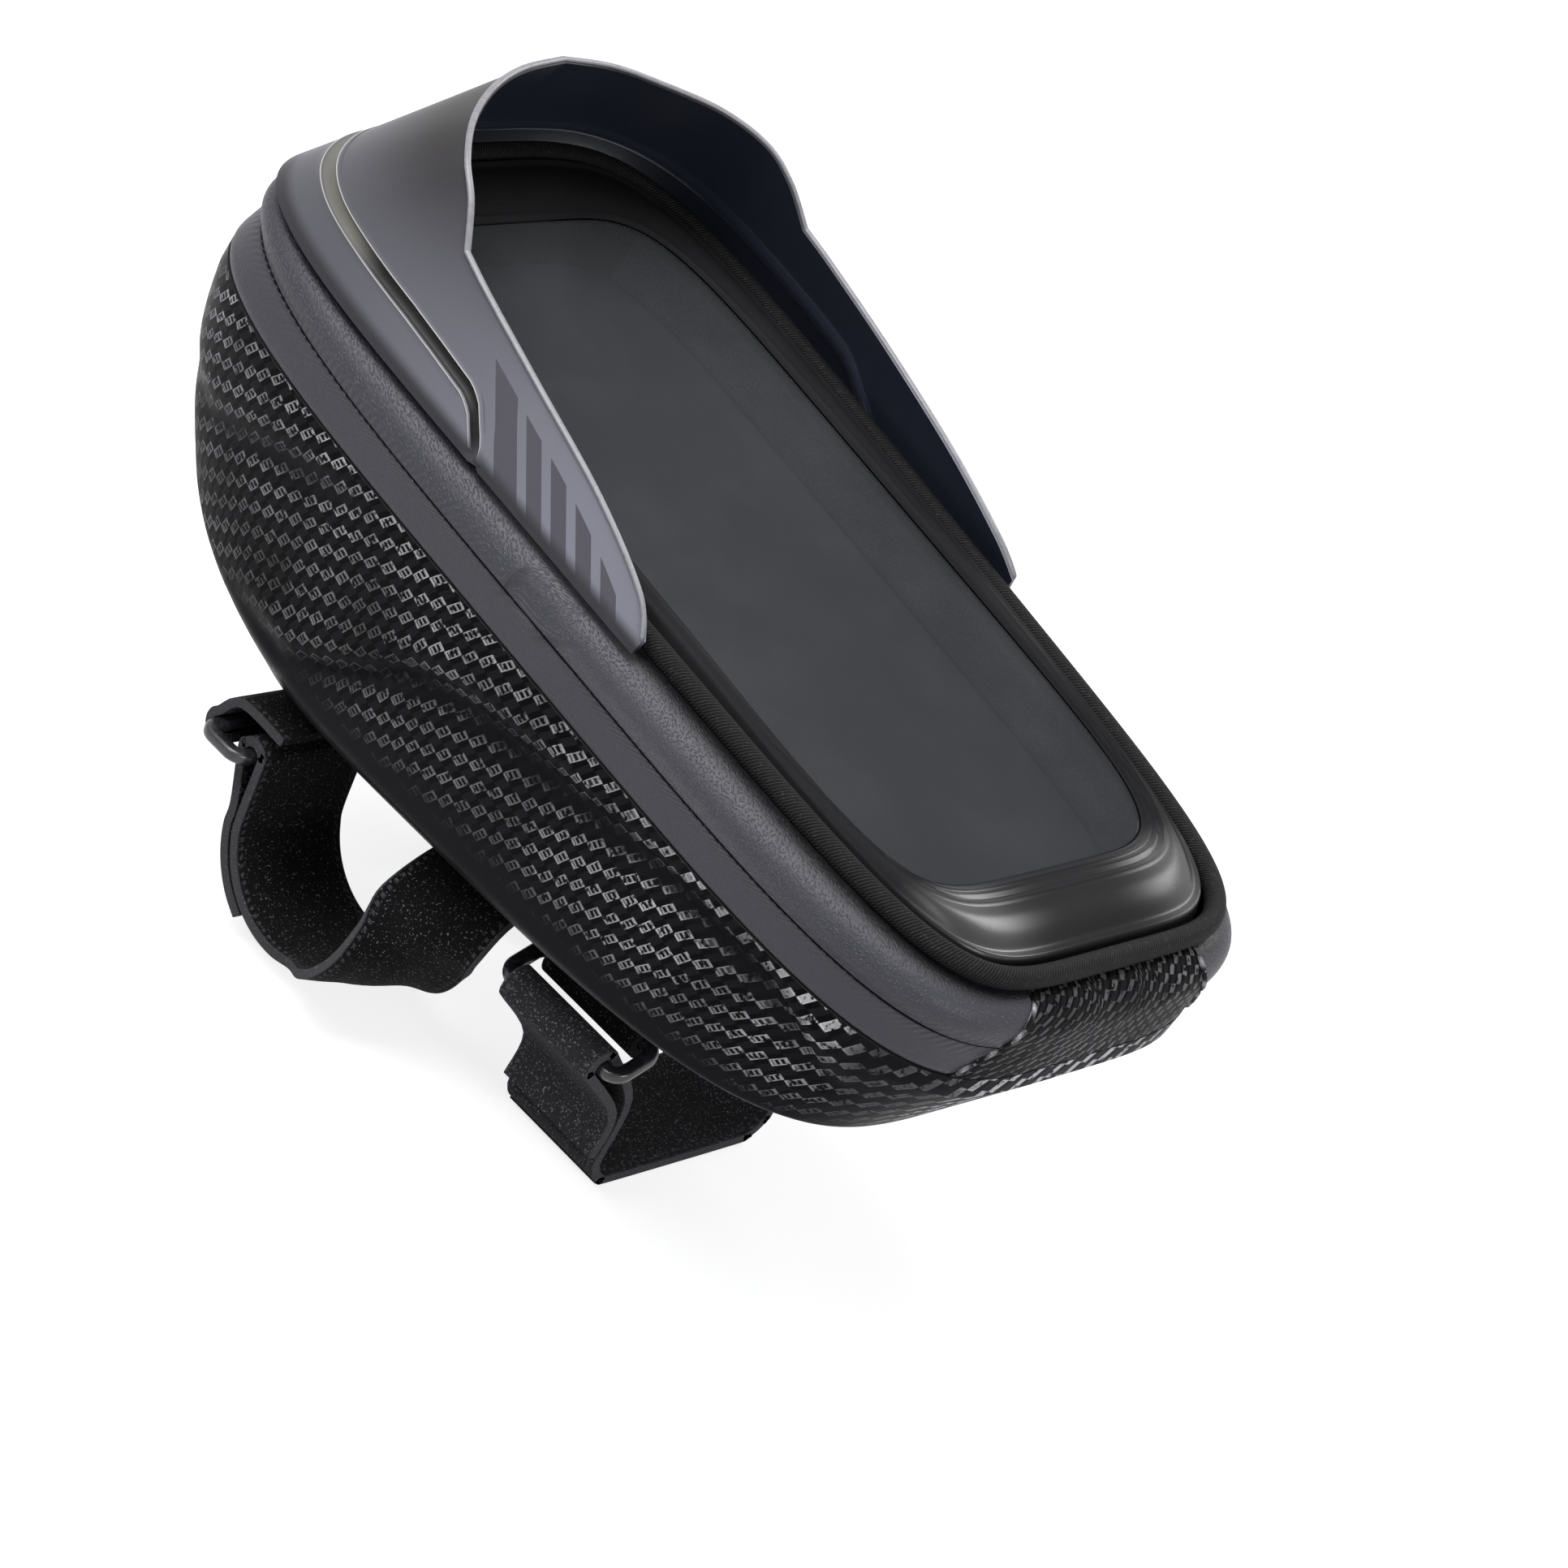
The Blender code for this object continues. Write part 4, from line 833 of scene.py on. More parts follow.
def panel_loop(part):
    """Loop at this share of the way down the panel: over the shoulder, then straight."""
    zip_top = ZIP_DROP - ZIP_SLIT / 2
    if part < SHOULDER_SHARE:
        return shoulder_ring(TOP_TURN * (1 - part / SHOULDER_SHARE))
    return band_ring(zip_top + (BAND_DROP - zip_top) * (part - SHOULDER_SHARE) / (1 - SHOULDER_SHARE))


def drop_loop(drop):
    """Loop on the band's outside at this drop."""
    height = (ZIP_DROP - ZIP_SLIT / 2 - drop) / SHOULDER_RADIUS
    return shoulder_ring(math.asin(min(height, 1.0))) if height > 0 else band_ring(drop)


panel_rows = []
for row in range(PANEL_ROWS + 1):
    loop = panel_loop(row / PANEL_ROWS)
    half = share_beside(loop, seam_half_width(loop["drop"]))
    points = [ring_point(loop, angle_at(half * (2 * index / PANEL_COLUMNS - 1)))
              for index in range(PANEL_COLUMNS + 1)]
    crimp = 1 - smooth_step(0.0, 0.3, row / PANEL_ROWS)
    for index, point in enumerate(points):
        fold = noise.noise(Vector((point.x * 700, row * 0.22, 3.0)))
        point.y -= CRIMP * fold * crimp + RIPPLE * noise.noise(point * 260)
    panel_rows.append(points)
mesh = skin("hinge_panel_skin", panel_rows, reference=PANEL_ROWS,
            masks={"weave": lambda row, column: 1.0,
                   # Painted highlight: glint strength rising from one side of the panel to the other.
                   "painted_glint": lambda row, column: 0.35 + 0.5 * column / PANEL_COLUMNS},
            inside=UNDER_BAND)
panel = make_piece("hinge_panel_skin", mesh, None, [panel_weave, LINING], ["hinge_panel"])
thicken(panel, HINGE_THICKNESS - 0.2 * MM, inner=1, rim=1)
hinge_low = LID @ Vector((0, ring_point(band_ring(BAND_DROP), -math.pi / 2).y, -BAND_DROP))
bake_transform(panel)

# %% [markdown]
# ## Piping
# A cord in a sleeve of ribbed tape, sewn round the lid. Its ribs slant round the cord, and their
# crests carry a painted highlight. The same tape, with coarser ribs and a much brighter painted
# highlight, covers the thin welts that close the band's two ends.


# %% Ribbed tape material, piping and welts
def ribbed_tape(name, pitch, light):
    surface = Surface(name)
    along, around = surface.cloth()
    rib = ((along - around * 0.55) * (2 * math.pi / pitch)).wave() * 0.5 + 0.5
    fuzz = surface.noise(3200.0, 2.0)
    specks = surface.noise(1500.0, 1.0).rise(0.62, 0.72)
    # Painted highlight: the rib crests are lightened towards the light colour given, with some light specks.
    lightened = rib ** 3 * fuzz * 0.7 + specks * 0.25
    colour = surface.mix(lightened, (0.006, 0.006, 0.0065), (light, light, light * 1.05))
    normal = surface.bump(rib + fuzz * 0.3, 0.15 * MM, 0.8)
    return surface.finish(colour, 0.55, normal, specular_ior_level=0.07)


TAPE = ribbed_tape("ribbed_tape", 0.62 * MM, 0.07)
# The welt's near-white colour is a painted highlight along its wavy crest.
WELT = ribbed_tape("welt_tape", 5.0 * MM, 0.9)
PIPING_COLUMNS = 900
path = [ring_point(ring(0.0, 0.0), angle_at(index / PIPING_COLUMNS)) for index in range(PIPING_COLUMNS)]
up = [Vector((0, 0, 1))] * PIPING_COLUMNS
mesh = skin("piping_cord", tube_rows(path, up, PIPING_RADIUS, PIPING_RADIUS, 16, closed=True), closed=True)
make_piece("piping_cord", mesh, "lid", [TAPE], ["piping"])


WELT_STEPS = 24
WELT_WANDER = 0.18 * MM


def welt(name, low, high, side, body):
    """Thin rolled edge along one end of the band, which wanders a little as sewn edges do."""
    points = []
    for step in range(WELT_STEPS + 1):
        drop = low + (high - low) * step / WELT_STEPS
        loop = drop_loop(drop)
        share = share_beside(loop, seam_half_width(loop["drop"]) + SEAM_GAP / 2)
        point = ring_point(loop, angle_at(share))
        point.x *= side
        point.x += WELT_WANDER * noise.noise(Vector((drop * 900, side, 0)))
        points.append(point)
    outward = [Vector((point.x * 0.2, -1, 0.3)).normalized() for point in points]
    mesh = skin(name, tube_rows(points, outward, 0.55 * MM, 0.5 * MM, 10))
    make_piece(name, mesh, body, [WELT])


for side, label in ((-1, "left"), (1, "right")):
    welt(f"band_welt_lid_{label}", 2.4 * MM, ZIP_DROP - SLIT_HALF, side, "lid")
    welt(f"band_welt_shell_{label}", ZIP_DROP + SLIT_HALF, BAND_DROP, side, "bag")

# %% [markdown]
# ## Window border
# A pressed frame of satin black film round the window. It rolls up beside the piping, crowns in
# the middle, and steps down to the window in three fine lips, which show best at the rider's end.
# The lips are a set distance from the window, so they follow its corners. Both corners of that
# end are polished, and a clear coat does this, driven by a mask. The window is a thin clear film.

# %% Border and window
WINDOW_WIDTH = 73.0 * MM
WINDOW_LENGTH = 153.0 * MM
WINDOW_CORNERS = (6.0, 6.0)
WINDOW_HEIGHT = 0.9 * MM
FILM_THICKNESS = 0.6 * MM
BORDER_THICKNESS = 1.5 * MM
BORDER_CROWN = 2.2 * MM
BORDER_DIP = 0.7 * MM
BORDER_ROWS = 44
BORDER_COLUMNS = 400
LIP_PLACES = (1.2 * MM, 2.9 * MM, 4.6 * MM)
LIP_HEIGHT, LIP_WIDTH = 0.42 * MM, 0.5 * MM
UNDER_LID = LID @ Vector((0, 0, -40 * MM))


def window_point(angle, grow=0.0, height=WINDOW_HEIGHT):
    across, along = rounded(angle, WINDOW_CORNERS)
    return Vector(((WINDOW_WIDTH / 2 + grow) * across, (WINDOW_LENGTH / 2 + grow) * along, height))


def border_point(angle, inward):
    """Point of the border: inward 0 beside the piping, 1 at the window."""
    outer = ring_point(ring(-PIPING_RADIUS - GAP, BORDER_DIP), angle)
    inner = window_point(angle)
    width = (outer - inner).length
    point = outer.lerp(inner, inward)
    roll = 1.1 * MM * hump(width * inward - 1.0 * MM, 0.9 * MM)
    crown = BORDER_CROWN * math.sin(math.pi * inward) ** 0.8
    left = width * (1 - inward)
    near = smooth_step(0.2, 0.75, -rounded(angle, WINDOW_CORNERS)[1])
    lips = sum(LIP_HEIGHT * hump(left - place, LIP_WIDTH) for place in LIP_PLACES)
    edge = 0.35 * MM * hump(left - 0.8 * MM, 0.6 * MM)
    point.z += crown + roll * smooth_step(0.0, 0.04, inward)
    point.z += (lips - 0.35 * crown * hump(left, 4.5 * MM)) * near + edge * (1 - near)
    return point


def pressed_film():
    surface = Surface("pressed_border")
    grain = surface.cells(1900.0)
    cloud = surface.noise(70.0, 3.0, 0.6)
    dust = surface.noise(2600.0, 1.0).rise(0.7, 0.78)
    tone = surface.mix(cloud, (0.010, 0.010, 0.011), (0.018, 0.018, 0.019))
    colour = surface.mix(dust * 0.25, tone, (0.06, 0.06, 0.06))
    normal = surface.bump(grain, 0.05 * MM, 0.35)
    return surface.finish(colour, 0.42 + cloud * 0.12, normal, specular_ior_level=0.03,
                          coat_weight=surface.mask("polish"), coat_roughness=0.24)


# %% Build the border
shares = [(1 - math.cos(math.pi * step / BORDER_ROWS)) / 2 for step in range(BORDER_ROWS + 1)]
border_rows = [[border_point(angle_at(index / BORDER_COLUMNS), inward) for index in range(BORDER_COLUMNS)]
               for inward in shares]


def border_polish(point):
    """1 on the crown at both corners of the rider's end, where the mould was polished by use."""
    return hump(abs(point.x) - 27 * MM, 9 * MM) * smooth_step(-72 * MM, -80 * MM, point.y)


mesh = skin("border_frame", border_rows, closed=True, inside=UNDER_LID,
            masks={"polish": lambda row, column: border_polish(border_rows[row][column])})
border = make_piece("border_frame", mesh, "lid", [pressed_film()], ["window_border"])
thicken(border, BORDER_THICKNESS - 0.4 * MM)


# %% Clear film
def clear_film():
    """Thin flexible film: a faint veil with handling marks, and a mirror only at slanting views."""
    surface = Surface("clear_film")
    slanting = surface.node("ShaderNodeLayerWeight", None, {"Blend": 0.5}, "Facing").rise(0.56, 0.98)
    smear = surface.noise(38.0, 3.0, 0.6).rise(0.35, 0.75)
    surface.finish((0.93, 0.95, 1.0), 0.06, metallic=slanting, specular_ior_level=0.0)
    clear = surface.node("ShaderNodeBsdfTransparent", None, {"Color": (0.90, 0.91, 0.93, 1.0)})
    veil = 0.017 + smear * 0.005 + slanting * 0.45
    surface.end_in(surface.node("ShaderNodeMixShader", None, {0: veil, 1: clear, 2: surface.shaded()}))
    return surface.material


SHEET_COLUMNS = 160
FILM_SAG = 0.5 * MM


def sheet_rows(steps, grow, level):
    """Rings from the window's outline, grown a little, to its middle. level gives each one's height."""
    rows = []
    for step in range(steps + 1):
        share = 1 - step / steps
        outline = [window_point(angle_at(index / SHEET_COLUMNS), grow) for index in range(SHEET_COLUMNS)]
        rows.append([Vector((point.x * share, point.y * share, level(share))) for point in outline])
    return rows


film_rows = sheet_rows(8, -GAP, lambda share: WINDOW_HEIGHT - 0.05 * MM - FILM_SAG * (1 - share * share))
mesh = skin("window_sheet", film_rows, closed=True, inside=UNDER_LID)
window = make_piece("window_sheet", mesh, "lid", [clear_film()], ["window_film"])
thicken(window, FILM_THICKNESS - 0.1 * MM)

# %% [markdown]
# ## Sun visor
# A stiff sheet pressed into a hood. A groove runs along its side, above a lower strip, and
# drops to the foot. The rows of its grid follow the groove, so its two edges stay crisp with few
# points. Five slanted stripes are printed in front of it. They are a sum on the lid's own
# measures, kept as masks: how far forward a point lies, how high, and how far under the edge.

# %% Visor's outline
VISOR_THICKNESS = 1.0 * MM
VISOR_FOOT_DROP = 0.3 * MM
VISOR_STANDOFF = 1.5 * MM
VISOR_CORNERS = (5.75, 5.0)
VISOR_SIDE = [(48.3, -18.4, 1.6), (46.4, -12.2, 5.8), (45.3, 4.5, 10.8), (44.7, 25.6, 14.8), (43.7, 43, 17.7),
              (42.7, 52, 19.2)]
VISOR_ARCH = [(42.7, 52, 19.2), (40.3, 58.2, 24.5), (37.7, 64.9, 27.5), (31.2, 72.5, 29), (21, 79.6, 29.3),
              (11.2, 83.4, 30.1), (0, 85.1, 30.5)]
VISOR_FINE = 14


def share_beside_y(loop, y):
    """Share at which a loop's right side passes this y."""
    middle, half_length = loop_reach(loop)
    along = (y - middle) / half_length
    corner = loop["corners"][1 if along > 0 else 0]
    return share_at(math.asin(signed_power(along, corner / 2)))


side_path = smooth_path([Vector(point) * MM for point in VISOR_SIDE], VISOR_FINE)
arch_path = smooth_path([Vector(point) * MM for point in VISOR_ARCH], VISOR_FINE)
half_edge = side_path[:-1] + arch_path
foot_loop = ring(PIPING_RADIUS + VISOR_THICKNESS + VISOR_STANDOFF, VISOR_FOOT_DROP, VISOR_CORNERS)
lengths = distances(half_edge)
kink = len(side_path) - 1
corner_share = share_beside_y(foot_loop, half_edge[kink].y)
half_foot = []
for index, point in enumerate(half_edge):
    if index <= kink:
        share = share_beside_y(foot_loop, point.y)
    else:
        round_corner = (lengths[index] - lengths[kink]) / (lengths[-1] - lengths[kink])
        share = corner_share + (0.5 - corner_share) * round_corner
    half_foot.append(ring_point(foot_loop, angle_at(share)))
print("visor's free edge:", round(2 * lengths[-1] / MM), "mm long")

# %% Groove and rows
GROOVE_LINE = [(23.0, -2.6), (25.0, 0.3), (31.5, 5.2), (34.5, 6.2), (44.0, 6.7), (58.0, 7.1), (90.0, 7.3)]
GROOVE_HALF = 1.0 * MM
GROOVE_DEPTH = 0.75 * MM
GROOVE_STEPS = [(-1.35, 0.0), (-1.12, -0.28), (-0.98, 0.0), (-0.9, 0.85), (-0.6, 1.0), (0.0, 1.0), (0.6, 1.0),
                (0.9, 0.85), (0.98, 0.0), (1.12, -0.28), (1.35, 0.0)]
STEP_IN = 0.5 * MM
FOOT_TUCK = 0.9 * MM
LOW_STEPS = 6
HIGH_STEPS = 22


def groove_depth(place):
    """Share of the groove's depth, at this many half widths from its middle."""
    places, depths = zip(*GROOVE_STEPS)
    return interpolate(places, depths, place)


def visor_column(edge, foot):
    """Points up one column, each with its share of the groove's depth."""
    height = edge.z - foot.z
    centre = line_drop(GROOVE_LINE, edge.y)
    reach = GROOVE_STEPS[-1][0] * GROOVE_HALF
    low = min(max(centre - reach, 0.0), height)
    levels = [-FOOT_TUCK] + [low * step / LOW_STEPS for step in range(LOW_STEPS)]
    levels += [min(max(centre + place * GROOVE_HALF, 0.0), 0.9 * height) for place, _ in GROOVE_STEPS]
    start = levels[-1]
    levels += [start + (height - start) * step / HIGH_STEPS for step in range(1, HIGH_STEPS + 1)]
    outward = Vector((foot.x, foot.y - LID_BACK, 0)).normalized()
    points = []
    for level in levels:
        depth = groove_depth((level - centre) / GROOVE_HALF)
        part = level / max(height, 0.1 * MM)
        step_in = STEP_IN * smooth_step(centre - reach, centre, level) * (1 - part)
        inward = depth * GROOVE_DEPTH + step_in * smooth_step(0.0, reach, centre)
        points.append((foot.lerp(edge, part) - outward * inward, depth, height - level, level))
    return points


half_columns = [visor_column(edge, foot) for edge, foot in zip(half_edge, half_foot)]
visor_columns = half_columns + [[(Vector((-point.x, point.y, point.z)), *rest) for point, *rest in column]
                                for column in reversed(half_columns[:-1])]
visor_marks = list(zip(*visor_columns))


# %% Visor material
STRIPE_SLANT = 1.2
STRIPE_PITCH = 6.6 * MM
STRIPE_HALF = 2.05 * MM
STRIPE_MARGIN = 4.0 * MM
STRIPES = 5
FIRST_STRIPE = 15.2 * MM
FIRST_STRIPE_REACH = 4.2 * MM


def visor_plastic():
    """Blue-grey plastic with printed bars. Painted shade darkens it towards the far end and the top, fills
    the groove with black and darkens its foot, and a painted highlight makes the groove's lips pale.
    """
    surface = Surface("visor_plastic")
    forward, height, under = (surface.mask(label) for label in ("forward", "height", "under"))
    slanted = forward - height * STRIPE_SLANT
    place = abs(((slanted - FIRST_STRIPE) * (1 / STRIPE_PITCH) + 0.5).fraction() - 0.5) * STRIPE_PITCH
    bars = (place < STRIPE_HALF).larger(slanted > FIRST_STRIPE)
    bars = bars * (slanted < FIRST_STRIPE + FIRST_STRIPE_REACH)
    stripe = bars * (under > STRIPE_MARGIN) * (slanted > FIRST_STRIPE - (STRIPES - 0.5) * STRIPE_PITCH)
    groove = surface.mask("groove").rise(0.1, 0.3)
    # Painted highlight: the groove's thin lips are made pale.
    lip_highlight = (0 - surface.mask("groove")).rise(0.08, 0.24)
    far = forward.rise(60 * MM, 72 * MM)
    cloud = surface.noise(22.0, 3.0, 0.55)
    fine = surface.noise(4200.0, 1.0)
    tone = surface.mix(cloud, (0.180, 0.180, 0.218), (0.215, 0.215, 0.256))
    # Painted shade: darker towards the far end and, most, high up the hood.
    shaded = forward.rise(-5 * MM, 80 * MM) * (0.6 + height.rise(6 * MM, 26 * MM) * 0.4)
    top = surface.mix(shaded, tone, (0.020, 0.018, 0.018))
    printed = surface.mix(stripe, top, (0.078, 0.074, 0.092))
    # Painted shade: the groove is near black, lighter towards its far end.
    groove_shade = surface.mix(far, (0.004, 0.004, 0.0045), (0.13, 0.125, 0.112))
    with_lip_highlight = surface.mix(lip_highlight * 0.8, printed, (0.50, 0.49, 0.46))
    colour = surface.mix(groove, with_lip_highlight, groove_shade)
    shadow = surface.mix(1 - height.rise(0.0, 2.2 * MM), colour, (0.03, 0.03, 0.035))
    normal = surface.bump(fine, 0.03 * MM, 0.25)
    rough = 0.34 + cloud * 0.08 + stripe * 0.12
    return surface.finish(shadow, rough, normal, specular_ior_level=0.2)


def visor_inside():
    """Dark, slightly blue inner face, with faint cloudy bands."""
    surface = Surface("visor_inner")
    band = surface.noise(18.0, 2.0)
    colour = surface.mix(band, (0.013, 0.016, 0.027), (0.030, 0.036, 0.056))
    return surface.finish(colour, 0.3 + band * 0.15, surface.bump(surface.noise(3000.0, 1.0), 0.03 * MM, 0.3))


def mottled(name, cloud, dark, light, rough, relief, **plain):
    """Finish in which one fine noise varies the colour, the roughness and the relief."""
    surface = Surface(name)
    grain = surface.noise(*cloud)
    return surface.finish(surface.mix(grain, dark, light), rough[0] + grain * rough[1],
                          surface.bump(grain, *relief), **plain)


# %% Build the visor
visor_rows = [[mark[0] for mark in row] for row in visor_marks]
mesh = skin("visor_hood", visor_rows,
            masks={"groove": lambda row, column: visor_marks[row][column][1],
                   "under": lambda row, column: visor_marks[row][column][2],
                   "height": lambda row, column: visor_marks[row][column][3],
                   "forward": lambda row, column: visor_marks[row][column][0].y},
            inside=LID @ Vector((0, 20 * MM, 0)))
visor = make_piece("visor_hood", mesh, "lid", [visor_plastic(), visor_inside()], ["visor"])
thicken(visor, VISOR_THICKNESS - 0.1 * MM, inner=1)
edge_path = [column[-1][0] - Vector((0, 0, 0.1 * MM)) for column in visor_columns]
outs = [Vector((point.x, point.y - 20 * MM, 0)).normalized() for point in edge_path]
mesh = skin("visor_lip", tube_rows(edge_path, outs, 0.42 * MM, 0.6 * MM, 12))
VISOR_EDGE = mottled("visor_edge", (400.0, 3.0, 0.6), (0.17, 0.17, 0.19), (0.27, 0.27, 0.29),
                     (0.22, 0.12), (0.03 * MM, 0.3))
make_piece("visor_lip", mesh, "lid", [VISOR_EDGE])

# %% [markdown]
# ## Phone pocket
# Under the window a foam rim holds the phone, open at the far end, with a lined back panel and a
# tab that fastens it. All three show through the clear film, so they get soft, matt finishes.

# %% Pocket pieces
PHONE_ROOM = 1.5 * MM
POCKET_DEPTH = 10.5 * MM
POCKET_RIM = 3.5 * MM
POCKET_MOUTH = 62.0 * MM
POCKET_BACK = 1.6 * MM


def foam():
    surface = Surface("rim_foam")
    pores = surface.cells(2200.0)
    colour = surface.mix(pores, (0.008, 0.008, 0.009), (0.028, 0.028, 0.030))
    return surface.finish(colour, 0.88, surface.bump(pores, 0.12 * MM, 0.7), specular_ior_level=0.1)


FOAM_COLUMNS = 260
FOAM_SQUARENESS = 0.35
pocket_top = BORDER_THICKNESS + BORDER_DIP + GAP
pocket_middle = PHONE_ROOM + POCKET_RIM / 2
mouth_across = POCKET_MOUTH / 2 / (WINDOW_WIDTH / 2 + PHONE_ROOM)
mouth = share_at(math.acos(mouth_across ** (WINDOW_CORNERS[1] / 2)))
rim_path = [window_point(angle_at(mouth * (2 * index / FOAM_COLUMNS - 1)), pocket_middle,
                         -pocket_top - POCKET_DEPTH / 2) for index in range(FOAM_COLUMNS + 1)]
mesh = skin("pocket_foam", tube_rows(rim_path, [Vector((0, 0, 1))] * len(rim_path), POCKET_RIM / 2,
                                     POCKET_DEPTH / 2, 20, power=FOAM_SQUARENESS))
pocket = make_piece("pocket_foam", mesh, "lid", [foam()], ["pocket_rim"])

back_level = -pocket_top - POCKET_DEPTH - GAP
BACK_DROP, BACK_WAVE, BACK_LIFT = 0.4 * MM, 0.3 * MM, 0.8 * MM


def back_height(share):
    """Height of the back panel: softly quilted, and lifted to the foam at its edge."""
    quilting = BACK_WAVE * math.cos(share * math.pi * 3) * (1 - share)
    return back_level - BACK_DROP + quilting + BACK_LIFT * smooth_step(0.85, 0.95, share)


mesh = skin("pocket_lining", sheet_rows(14, pocket_middle, back_height), closed=True,
            inside=LID @ Vector((0, 0, -60 * MM)))
POCKET_NAP = lining("pocket_nap", 0.010, 0.020)
back = make_piece("pocket_lining", mesh, "lid", [POCKET_NAP], ["pocket_back"])
thicken(back, POCKET_BACK - 0.6 * MM)

# %% [markdown]
# ## Straps
# Hook-and-loop strapping, 25 mm wide: a dense black nap with light specks painted in for the glints
# of the hooks, and a finer woven selvage at each edge. Each strap is swept through the same rows as
# the CAD solid, with more steps, and its free stretch is creased where it twists on to the bar.


# %% Strapping material
def strapping(name, width, dark, speck_amount):
    surface = Surface(name)
    across, along = surface.cloth()
    nap = surface.noise(2400.0, 3.0, 0.7)
    specks = surface.noise(2500.0, 1.0).rise(0.66 - speck_amount, 0.74 - speck_amount)
    edge = across.smaller(width - across)
    selvage = edge.bell(1.2 * MM, 0.7 * MM)
    stitch = ((along * (2 * math.pi / (1.6 * MM))).wave() > 0.1) * selvage
    light_edge = 1 - edge.rise(0.1 * MM, 0.5 * MM)
    tone = surface.mix(nap, (dark, dark, dark * 1.1), (dark * 3.2, dark * 3.2, dark * 3.5))
    # Painted highlight: light specks for the glints of the hooks.
    speckled = surface.mix(specks * 0.5, tone, (0.40, 0.40, 0.42))
    stitched = surface.mix(stitch * 0.35, speckled, (0.16, 0.16, 0.17))
    colour = surface.mix(light_edge * 0.45, stitched, (0.14, 0.14, 0.15))
    rib = (along * (2 * math.pi / (0.8 * MM))).wave() * selvage
    normal = surface.bump(nap + specks * 0.5 + rib * 0.3 - stitch * 0.4, 0.22 * MM, 0.9)
    return surface.finish(colour, 0.85, normal, specular_ior_level=0.03,
                          sheen_weight=0.04, sheen_roughness=0.5)


# %% Ribbons
STRAP_THICKNESS = 1.8 * MM
BAR_RADIUS = 15.9 * MM
BAR_Y = 8.0 * MM
BAR_DROP = 17.6 * MM
BAR_STRAP_WIDTH = 25.0 * MM
BAR_STRAP_X = 31.5 * MM
RING_WIRE = 1.4 * MM
RING_DEPTH = 9.0 * MM
RING_ROOM = 1.6 * MM
RING_DROP = 8.0 * MM
RING_CORNER = 2.4 * MM
TAB_SEAT = 14.0 * MM
ACROSS = 16
TWIST_STEPS = 5
TWIST_END = 252
CREASE_HEIGHT = 2.6 * MM


def on_circle(centre, radius, degrees):
    angle = math.radians(degrees)
    return centre[0] + radius * math.cos(angle), centre[1] + radius * math.sin(angle)


def arc(centre, radius, start, end, steps):
    return [on_circle(centre, radius, start + (end - start) * index / steps) for index in range(steps + 1)]


def ribbon(name, edges, fine, material, node, crease=None):
    """Strap between two edge paths. crease gives how much each part of it may wrinkle."""
    firsts = smooth_path([edge[0] for edge in edges], fine)
    seconds = smooth_path([edge[1] for edge in edges], fine)
    rows = [[one.lerp(other, step / ACROSS) for step in range(ACROSS + 1)]
            for one, other in zip(firsts, seconds)]
    if crease:
        for index in range(1, len(rows) - 1):
            amount = crease(index / (len(rows) - 1))
            if amount <= 0:
                continue
            for step in range(ACROSS + 1):
                along = rows[index + 1][step] - rows[index - 1][step]
                side = rows[index][min(step + 1, ACROSS)] - rows[index][max(step - 1, 0)]
                normal = along.cross(side).normalized()
                place = Vector((step / ACROSS * 2.4, index / (len(rows) - 1) * 11.0, 1.7))
                rows[index][step] = rows[index][step] + normal * amount * noise.noise(place)
    mesh = skin(name, rows, reference=len(rows) - 2, place=BASE)
    piece = make_piece(name, mesh, "bag", [material], [node])
    thicken(piece, STRAP_THICKNESS - 0.1 * MM, 0.0)
    print(name, "is", round(distances(seconds)[-1] / MM), "mm long")


STEM_STRAP_WIDTH = 23.0 * MM
STRAP = strapping("hook_loop_strap", BAR_STRAP_WIDTH, 0.0035, 0.02)
STRAP_GREY = strapping("hook_loop_flap", STEM_STRAP_WIDTH, 0.016, 0.06)


# %% Bar straps
def ring_bar_place():
    """Centre of the ring's bar that a strap turns round, in the strap's own plane."""
    return BAR_Y + BAR_RADIUS + GAP + STRAP_THICKNESS + GAP + RING_WIRE + 0.4 * MM, -RING_DROP


def bar_strap_edges(side):
    """The CAD strap's rows: under the base, twisted on to the bar, round it, through the ring and back."""
    inner, outer = BAR_STRAP_X - BAR_STRAP_WIDTH / 2, BAR_STRAP_X + BAR_STRAP_WIDTH / 2
    first = BAR_RADIUS + GAP + STRAP_THICKNESS / 2
    under = -GAP - STRAP_THICKNESS / 2
    centre = (BAR_Y, -BAR_DROP)
    front, rear = BAR_Y - BAR_RADIUS, BAR_Y - BAR_RADIUS - BAR_STRAP_WIDTH * 0.82

    rows = [[Vector((x, front, under)), Vector((x, rear, under))]
            for x in (inner - STRAP_THICKNESS, (inner + outer) / 2)]
    for step in range(TWIST_STEPS):
        part = step / TWIST_STEPS
        left = 1 - part
        leading = on_circle(centre, first + 2.6 * MM * left * left, 147 + (TWIST_END - 147) * part)
        trailing = on_circle(centre, first + 20 * MM * left ** 1.2, 168 + (TWIST_END - 168) * part ** 1.2)
        rows.append([Vector((outer + 6.5 * MM * math.sin(math.pi * part), *leading)),
                     Vector((inner + 19 * MM * left, *trailing))])
    path = arc(centre, first, TWIST_END, 352, 7)
    path += arc(ring_bar_place(), RING_WIRE + GAP + STRAP_THICKNESS / 2, 180, 0, 6)
    path += arc(centre, first + STRAP_THICKNESS + 2 * GAP, 0, -62, 5)
    rows += [[Vector((edge, y, z)) for edge in (outer, inner)] for y, z in path]
    return [[Vector((side * point.x, point.y, point.z)) for point in row] for row in rows]


